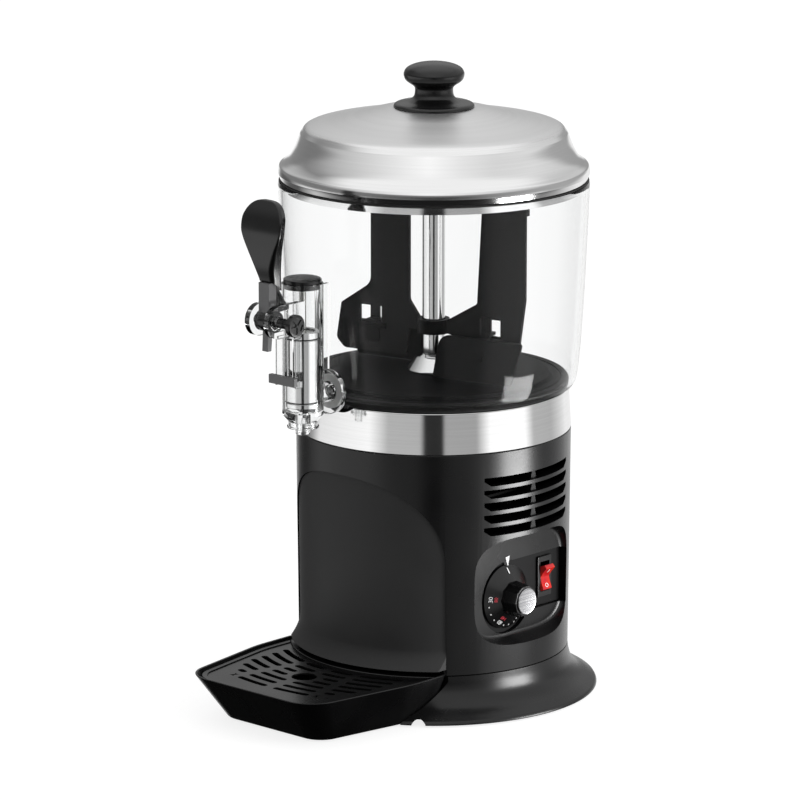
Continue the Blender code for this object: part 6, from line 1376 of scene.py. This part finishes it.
for shape in (arm, arm_tip):
    shape.transform(Matrix.Rotation(-LEVER_SWING / 2, 4, "X"))
    shape.transform(Matrix.Translation(lever_at))
    join(lever, shape)
cut(lever, bar((-ARM_HALF, ARM_HALF), (-0.1895, -0.179), (stem_low + 0.009, STEM_TOP_Z - 0.002)))
soften(lever, 0.0005, 2, math.radians(40))
show(lever, STEM_GREY, "lever", "grey_plastic", "lever_arm")

web = [(-0.1838, 0.3310), (-0.1678, 0.3320), (-0.1676, 0.3350), (-0.1795, 0.3530), (-0.1838, 0.3545)]
web_holes = [[(-0.1824, 0.3350), (-0.1802, 0.3350), (-0.1802, 0.3500), (-0.1824, 0.3500)],
             [(-0.1780, 0.3350), (-0.1752, 0.3350), (-0.1752, 0.3430), (-0.1780, 0.3470)]]
arm_web = solid(pulled(web, -0.0016, 0.0016, "X"), "lever_web")
cut(arm_web, *[pulled(hole, -OVER, OVER, "X") for hole in web_holes])
soften(arm_web, 0.0003, 2)
show(arm_web, GLOSS, "lever", "black_gloss_trim")
hub_face = [(0.005, -0.00735), (0.007, -0.00735), (0.0083, -0.0066)]
hub_face += [(r, -x) for r, x in reversed(hub_face)]
show(solid(spun(hub_face, 64, lever_at, "X"), "lever_hub"), GLOSS, "lever", "black_gloss_trim")

# %% [markdown]
# ## The handle
#
# The handle is a black paddle that fits the palm. It is drawn from ring to ring: each ring is a rounded box with a
# height, a half width, a front, a back, and how far its back hangs lower. It narrows a little towards the back.

# %% Handle
CORNER_SHARE = 0.55
BACK_NARROWER = 0.12
HANDLE = (
    (0.3566, 0.0078, -0.1898, -0.1772, 0.0085), (0.3600, 0.0084, -0.1908, -0.1778, 0.0080),
    (0.3689, 0.0106, -0.1936, -0.1800, 0.0055), (0.3809, 0.0155, -0.1954, -0.1838, 0.0025),
    (0.3900, 0.0196, -0.1958, -0.1862, 0.0008), (0.3965, 0.0214, -0.1956, -0.1866, 0.0),
    (0.4049, 0.0214, -0.1940, -0.1856, 0.0), (0.4110, 0.0188, -0.1922, -0.1842, 0.0),
    (0.4155, 0.0148, -0.1904, -0.1834, 0.0), (0.4182, 0.0098, -0.1890, -0.1838, 0.0),
    (0.4192, 0.0045, -0.1878, -0.1848, 0.0),
)
handle_rings = []
for z, wide, front, back, drop in smooth_line(HANDLE, 4):
    deep = (back - front) / 2
    ring = box_outline(wide, deep, min(wide, deep) * CORNER_SHARE, (0, (front + back) / 2), 6)
    handle_rings.append([
        (a * (1 - BACK_NARROWER * (b - front) / (2 * deep)), b, z - drop * (b - front) / (2 * deep)) for a, b in ring])
show(solid(lofted(handle_rings), "tap_lever_grip"), GLOSS, "lever", "black_gloss_trim", "tap_handle")

# %% [markdown]
# ## The stirrer
#
# The stirrer is one moulding that hangs from the shaft's square tip: a cross bar, a paddle at each side and a ring
# round the column. It lifts off for washing. The outlines are drawn flat, pulled to their thickness, joined and
# softened, and the whole is turned to where it stopped.

# %% Paddle outlines
STIR_TURN = math.radians(12.5)
STIR_THICK = 0.003
STIR_TOP_Z = 0.398


def turned_in_place(bm, turn=0.0):
    """Turns a shape to where the stirrer stopped, after a turn of its own."""
    bm.transform(Matrix.Rotation(turn, 4, "Z"))
    bm.transform(Matrix.Rotation(STIR_TURN, 4, "Z"))
    return bm


half = STIR_THICK / 2
paddle_top = STIR_TOP_Z - STIR_THICK
STIR_LEFT = 0.089
STIR_RIGHT = 0.0827
RING_LOW_Z = 0.2867
RING_TOP_Z = 0.298
RING_R = 0.0127
STIR_LOW_Z = 0.2655
waist = STIR_LEFT * 0.640
left_in = 0.009 + RING_R
bend_z = RING_TOP_Z + RING_R
flare_z = RING_TOP_Z + STIR_THICK * 1.4
mid_z = (STIR_LOW_Z + RING_LOW_Z) / 2 - STIR_THICK
web_low = RING_LOW_Z + STIR_THICK / 4
web_top = RING_TOP_Z - STIR_THICK / 4
web_in = RING_R - STIR_THICK / 4
left_paddle = rounded([
    (-left_in, paddle_top, 0), (-waist, paddle_top, 0), (-waist, bend_z + 0.010, 0.010),
    (-STIR_LEFT * 0.948, flare_z, 0.003), (-STIR_LEFT, mid_z, 0.00635), (-STIR_LEFT * 0.918, STIR_LOW_Z, 0.00635),
    (-left_in - 0.003, STIR_LOW_Z, 0.003), (-left_in, web_low, 0), (-web_in, web_low, 0), (-web_in, web_top, 0),
    (-left_in, bend_z, 0.00635),
], 6)
in_top, in_mid = STIR_RIGHT * 0.536, STIR_RIGHT * 0.484
right_low = RING_LOW_Z - STIR_THICK * 2
right_paddle = rounded([
    (in_top, paddle_top, 0), (in_mid, bend_z + 0.003, 0.003), (web_in, web_top, 0), (web_in, web_low, 0),
    (in_mid, right_low, 0.003), (STIR_RIGHT - 0.0054, right_low, 0.003), (STIR_RIGHT, bend_z + 0.010, 0.010),
    (STIR_RIGHT, paddle_top, 0),
], 6)
print("paddles:", len(left_paddle), "and", len(right_paddle), "points")

# %% Stirrer
HUB_R = 0.012
HUB_HIGH = 0.016
SQUARE_HALF = 0.0031
hub_low = COLUMN_TOP_Z + 0.0013
hub_line = [(0, hub_low), (HUB_R, hub_low), (HUB_R, hub_low + 0.0156), (HUB_R - 0.0004, hub_low + HUB_HIGH),
            (0, hub_low + HUB_HIGH)]
stirrer = solid(turned_in_place(spun(hub_line, 64)), "stirrer_paddles")
cross_bar = [(-waist - half, STIR_TOP_Z - 0.010), (STIR_RIGHT + half, STIR_TOP_Z - 0.010),
             (STIR_RIGHT + half, STIR_TOP_Z), (-waist - half, STIR_TOP_Z)]
for shape in (along_y(left_paddle, -half, half), along_y(right_paddle, -half, half),
              along_y(cross_bar, -0.003, 0.003), rod(RING_R, RING_LOW_Z, RING_TOP_Z, 64)):
    join(stirrer, turned_in_place(shape))
cut(stirrer, rod(0.0098, 0.28, 0.31, 64))
cut(stirrer, bar((-SQUARE_HALF, SQUARE_HALF), (-SQUARE_HALF, SQUARE_HALF), (0.38, 0.3993)))
windows = joined(*[bar(x, (-0.003, 0.003), (0.287, 0.3025)) for x in ((0.0425, 0.061), (-0.067, -0.047))])
cut(stirrer, turned_in_place(windows))
soften(stirrer, 0.0005, 2, math.radians(40))
show(stirrer, PADDLE, "stirrer", "black_gloss_trim", "stirrer")

# %% [markdown]
# ## The blades
#
# A leaning blade hangs in each paddle's window and sweeps the plate, so that nothing burns on it. Each hangs by a
# tongue with a cross piece, and a small clip on the paddle's other side holds it. Both blades come from one outline,
# and the rear one is turned by half a turn.

# %% Scraper blades
BLADE_IN = 0.012
BLADE_OUT = 0.0855
BLADE_THICK = 0.0025
BLADE_LOW_Z = 0.2564
BLADE_TOP_Z = 0.288
LOW_OFF = 0.0205
TOP_OFF = 0.0085
LEAN = (LOW_OFF - TOP_OFF) / (BLADE_TOP_Z - BLADE_LOW_Z)
blade_line = rounded([
    (BLADE_IN, BLADE_LOW_Z, 0.0025), (BLADE_OUT - 0.00375, BLADE_LOW_Z, 0.0025), (BLADE_OUT, BLADE_TOP_Z, 0.0025),
    (BLADE_IN, BLADE_TOP_Z, 0.0075),
], 6)
face_gap = half + HAIR
blade_mid_z = (BLADE_LOW_Z + BLADE_TOP_Z) / 2
mid_off = LOW_OFF - LEAN * (blade_mid_z - BLADE_LOW_Z)
tongue_line = [
    (-face_gap, 0.3045), (-face_gap - 0.0026, 0.3045), (-face_gap - 0.0026, BLADE_TOP_Z + 0.005),
    (-mid_off - 0.0051, blade_mid_z), (-mid_off - 0.00125, blade_mid_z), (-TOP_OFF - 0.00125, BLADE_TOP_Z - 0.0025),
    (-face_gap, BLADE_TOP_Z + 0.00125),
]
BLADES = (("front_blade", "scraper_front", 0.0497, 0), ("rear_blade", "scraper_rear", 0.0552, math.pi))
BELL = ((-0.0075, 0.2735, 0.002), (0.0085, 0.2735, 0.002), (0.0070, 0.2800, 0.002), (0.0058, 0.2890, 0.001),
        (-0.0058, 0.2890, 0.001), (-0.0065, 0.2800, 0.002))
TONGUE_HALF = 0.004
NUB_HALF = 0.0125
for name, node, at, turn in BLADES:
    rings = [[(x, -(LOW_OFF - LEAN * (z - BLADE_LOW_Z)) - off, z) for x, z in blade_line] for off in (0, BLADE_THICK)]
    tongue = (at - TONGUE_HALF, at + TONGUE_HALF)
    parts = [lofted(rings), pulled(tongue_line, *tongue, "X"),
             bar(tongue, (-face_gap - 0.0013, face_gap + 0.0026), (0.2896, 0.2922)),
             along_y(rounded([(at + x, z, r) for x, z, r in BELL], 4), face_gap, half + 0.0012),
             bar((at - NUB_HALF, at + NUB_HALF), (face_gap, half + 0.0022), (0.2850, 0.2885))]
    for part in parts:
        turned_in_place(part, turn)
    blade = solid(parts[0], name)
    join(blade, *parts[1:3])
    clip = solid(parts[3], name + "_clip")
    join(clip, parts[4])
    soften(clip, 0.0003, 2, math.radians(40))
    # The clip gets the darker finish as painted shade of its recess.
    show(clip, SHADED_CLIP_BLACK, "stirrer", "black_gloss_trim")
    soften(blade, 0.0004, 2, math.radians(40))
    show(blade, PADDLE, "stirrer", "black_gloss_trim", node)

# %% [markdown]
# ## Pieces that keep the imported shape
#
# The works inside the housing, the screws and the feet are seen only through the vents or from below. Their packed
# shapes are right as they are, so they only get their finishes.

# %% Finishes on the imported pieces
KEPT = {
    "base_plate": PLATED, "dial_spindle": PLATED, "thermostat_body": PLATED, "column_nut": BRASS,
    # The heat shield and the motor bracket get the black plate finish as painted shade, so the vents look dark inside.
    "heating_element": PLATED, "heat_shield": PLATE, "thermal_cutout": INSULATOR, "shaft_coupling": PLATED,
    "upper_bush": BRASS, "lower_bush": BRASS, "motor_bracket": PLATE, "gearbox": PLATE, "motor": PLATE,
    "terminal_block": INSULATOR, "cord_inlet": RUBBER, "spring_guide": PLATED, "tap_spring": PLATED,
    "knob_screw": PLATED,
}
for number in range(1, 5):
    KEPT[f"rubber_foot_{number}"] = RUBBER
    KEPT[f"base_screw_{number}"] = PLATED
for node, material in KEPT.items():
    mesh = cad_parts[node].data
    mesh.materials.clear()
    mesh.materials.append(material)
print("packed pieces with a finish:", len(KEPT))

# %% [markdown]
# ## The floor
#
# The machine stands on a plain pale floor. It glows a little, so that only a faint shadow is left under the machine,
# and it is hidden from reflections: in the studio the pale floor is a narrow strip, and black plastic looks black
# only because most of what it mirrors is dark.

# %% Floor
FLOOR_HALF = 6
FLOOR_Z = -0.0002
FLOOR_GLOW = 0.8
floor_mesh = bpy.data.meshes.new("floor")
floor_bm = bmesh.new()
bmesh.ops.create_grid(floor_bm, x_segments=1, y_segments=1, size=FLOOR_HALF)
floor_bm.to_mesh(floor_mesh)
floor_bm.free()
floor = placed("floor", floor_mesh)
floor.location = (0, 0, FLOOR_Z)
FLOOR, floor_tree, floor_shader = fresh("pale_floor", (0.3, 0.3, 0.3), 0.8)
put(floor_shader, Specular_IOR_Level=0.0, Emission_Color=(1, 1, 1, 1), Emission_Strength=FLOOR_GLOW)
tint(floor_tree, pattern(floor_tree, 2.0), floor_shader, (0.295, 0.295, 0.295), (0.305, 0.305, 0.305))
floor.data.materials.append(FLOOR)
floor.visible_glossy = False
floor.visible_diffuse = False
floor.visible_transmission = False
print("floor", round(floor.location.z, 4))

# %% [markdown]
# ## The studio
#
# Polished steel and black plastic show what stands round them, so the room matters as much as the finishes. A dark
# gap lies where the camera stands, pale walls are at both sides, and the room is dark below the table and bright
# above. Each ring of the room is a ramp over the compass: one at table height, one at eye level and one above. The
# turn is counted from the camera, so the dark gap shows as a stripe in the middle of the steel band.

# %% Rings of the room
world = bpy.data.worlds.new("studio")
bpy.context.scene.world = world
world.use_nodes = True
sky = world.node_tree
look = add(sky, "TexCoord")


def math_node(operation, *values):
    """One step of reckoning. A value is a number or a socket."""
    node = add(sky, "Math")
    node.operation = operation
    for socket, value in zip(node.inputs, values):
        if isinstance(value, (int, float)):
            socket.default_value = value
        else:
            sky.links.new(value, socket)
    return node.outputs[0]


def along(direction):
    """How far the looked-at point lies in a direction."""
    node = add(sky, "VectorMath")
    node.operation = "DOT_PRODUCT"
    node.inputs[1].default_value = direction
    sky.links.new(look.outputs["Generated"], node.inputs[0])
    return node.outputs["Value"]


def ring(*stops):
    """Grey tones round the room. A stop is (degrees from the camera, positive to its right, tone)."""
    node = add(sky, "ValToRGB")
    elements = node.color_ramp.elements
    while len(elements) < len(stops):
        elements.new(0.5)
    for element, (degrees, tone) in zip(elements, stops):
        element.position = (degrees + 180) / 360
        element.color = (tone, tone, tone, 1)
    sky.links.new(turn_share, node.inputs["Fac"])
    return node.outputs["Color"]


height = along((0, 0, 1))
to_camera = along((math.sin(VIEW_TURN), -math.cos(VIEW_TURN), 0))
to_right = along((math.cos(VIEW_TURN), math.sin(VIEW_TURN), 0))
turn = math_node("ARCTAN2", to_right, to_camera)
turn_share = math_node("MULTIPLY_ADD", turn, 1 / math.tau, 0.5)
table_ring = ring(
    (-180, 1.1), (-164, 1.0), (-156, 0.3), (-148, 0.12), (-132, 0.10), (-120, 0.45), (-110, 0.95), (-55, 1.2),
    (-38, 0.56), (-11, 0.55), (-7, 0.03), (7, 0.03), (10, 0.46), (36, 0.44), (48, 1.3), (82, 1.3), (92, 0.56),
    (116, 0.52), (145, 1.0), (180, 0.9))
eye_ring = ring(
    (-180, 0.35), (-150, 0.25), (-130, 0.22), (-71, 0.22), (-70, 0.02), (-61, 0.02), (-60, 0.20), (-40, 0.16),
    (-12, 0.08), (10, 0.06), (25, 0.12), (45, 0.28), (75, 0.42), (110, 0.46), (140, 0.42), (165, 0.36), (180, 0.35))
upper_ring = ring(
    (-180, 0.72), (-150, 0.50), (-130, 0.27), (-115, 0.35), (-90, 0.60), (-40, 0.95), (-5, 1.20), (25, 0.98),
    (55, 0.84), (95, 0.88), (125, 0.75), (150, 0.65), (180, 0.72))
print("rings of the room: 3")

# %% [markdown]
# ## The backdrop
#
# The rings are blended by height. What the camera sees straight on, or through the clear bowl, is a plain pale
# backdrop instead: only what is mirrored shows the room. A light path that has passed through clear walls without
# any other bounce counts as seen straight on.

# %% Blend the rings, and keep the backdrop plain
BELOW_TABLE = 0.012
CEILING = 1.08
BACKDROP = 0.974
ONE_BOUNCE = 1.5


def mixed(share, low, high):
    """Mixes two tones by a share. A tone is a number or a socket."""
    mix = add(sky, "Mix")
    mix.data_type = "RGBA"
    sky.links.new(share, mix.inputs["Factor"])
    for socket, value in ((mix.inputs["A"], low), (mix.inputs["B"], high)):
        if isinstance(value, float):
            socket.default_value = (value, value, value, 1)
        else:
            sky.links.new(value, socket)
    return mix.outputs["Result"]


def blend(low, high, start, stop):
    """Goes from one tone to another between two heights, given in degrees above the horizon."""
    low_end, high_end = math.sin(math.radians(start)), math.sin(math.radians(stop))
    share = add(sky, "MapRange", From_Min=low_end, From_Max=high_end)
    share.interpolation_type = "SMOOTHSTEP"
    sky.links.new(height, share.inputs["Value"])
    return mixed(share.outputs["Result"], low, high)


tone = blend(BELOW_TABLE, table_ring, -42, -28)
tone = blend(tone, eye_ring, -5, 0)
tone = blend(tone, upper_ring, 10, 20)
tone = blend(tone, CEILING, 38, 58)
path = add(sky, "LightPath").outputs
bounces = math_node("SUBTRACT", path["Ray Depth"], path["Transmission Depth"])
through = math_node("MULTIPLY", path["Is Transmission Ray"], math_node("LESS_THAN", bounces, ONE_BOUNCE))
mirrored = math_node("SUBTRACT", 1.0, math_node("MAXIMUM", path["Is Camera Ray"], through))
sky.links.new(mixed(mirrored, BACKDROP, tone), sky.nodes["Background"].inputs["Color"])
bpy.context.scene.view_settings.view_transform = "Standard"
print("room blended over", len(sky.nodes), "nodes")

# %% [markdown]
# ## The lamp
#
# One soft lamp stands low at the right. It draws the broad upright light on the black housing beside the vents.

# %% Lamp
LAMP_TURN = VIEW_TURN + math.radians(65)
LAMP_AWAY = 0.46
LAMP_LOW_Z = 0.02
LAMP_HIGH_Z = 0.13
softbox = bpy.data.lights.new("right_softbox", "AREA")
softbox.energy = 1.6
softbox.shape = "RECTANGLE"
softbox.size = 0.2
softbox.size_y = LAMP_HIGH_Z - LAMP_LOW_Z
lamp = placed("right_softbox", softbox)
lamp_z = (LAMP_LOW_Z + LAMP_HIGH_Z) / 2
lamp.location = (LAMP_AWAY * math.sin(LAMP_TURN), AXIS_Y - LAMP_AWAY * math.cos(LAMP_TURN), lamp_z)
facing = Vector((0, AXIS_Y, lamp.location.z)) - lamp.location
lamp.rotation_euler = facing.to_track_quat("-Z", "Y").to_euler()
lamp.visible_camera = False
print("lamp at", tuple(round(v, 3) for v in lamp.location))
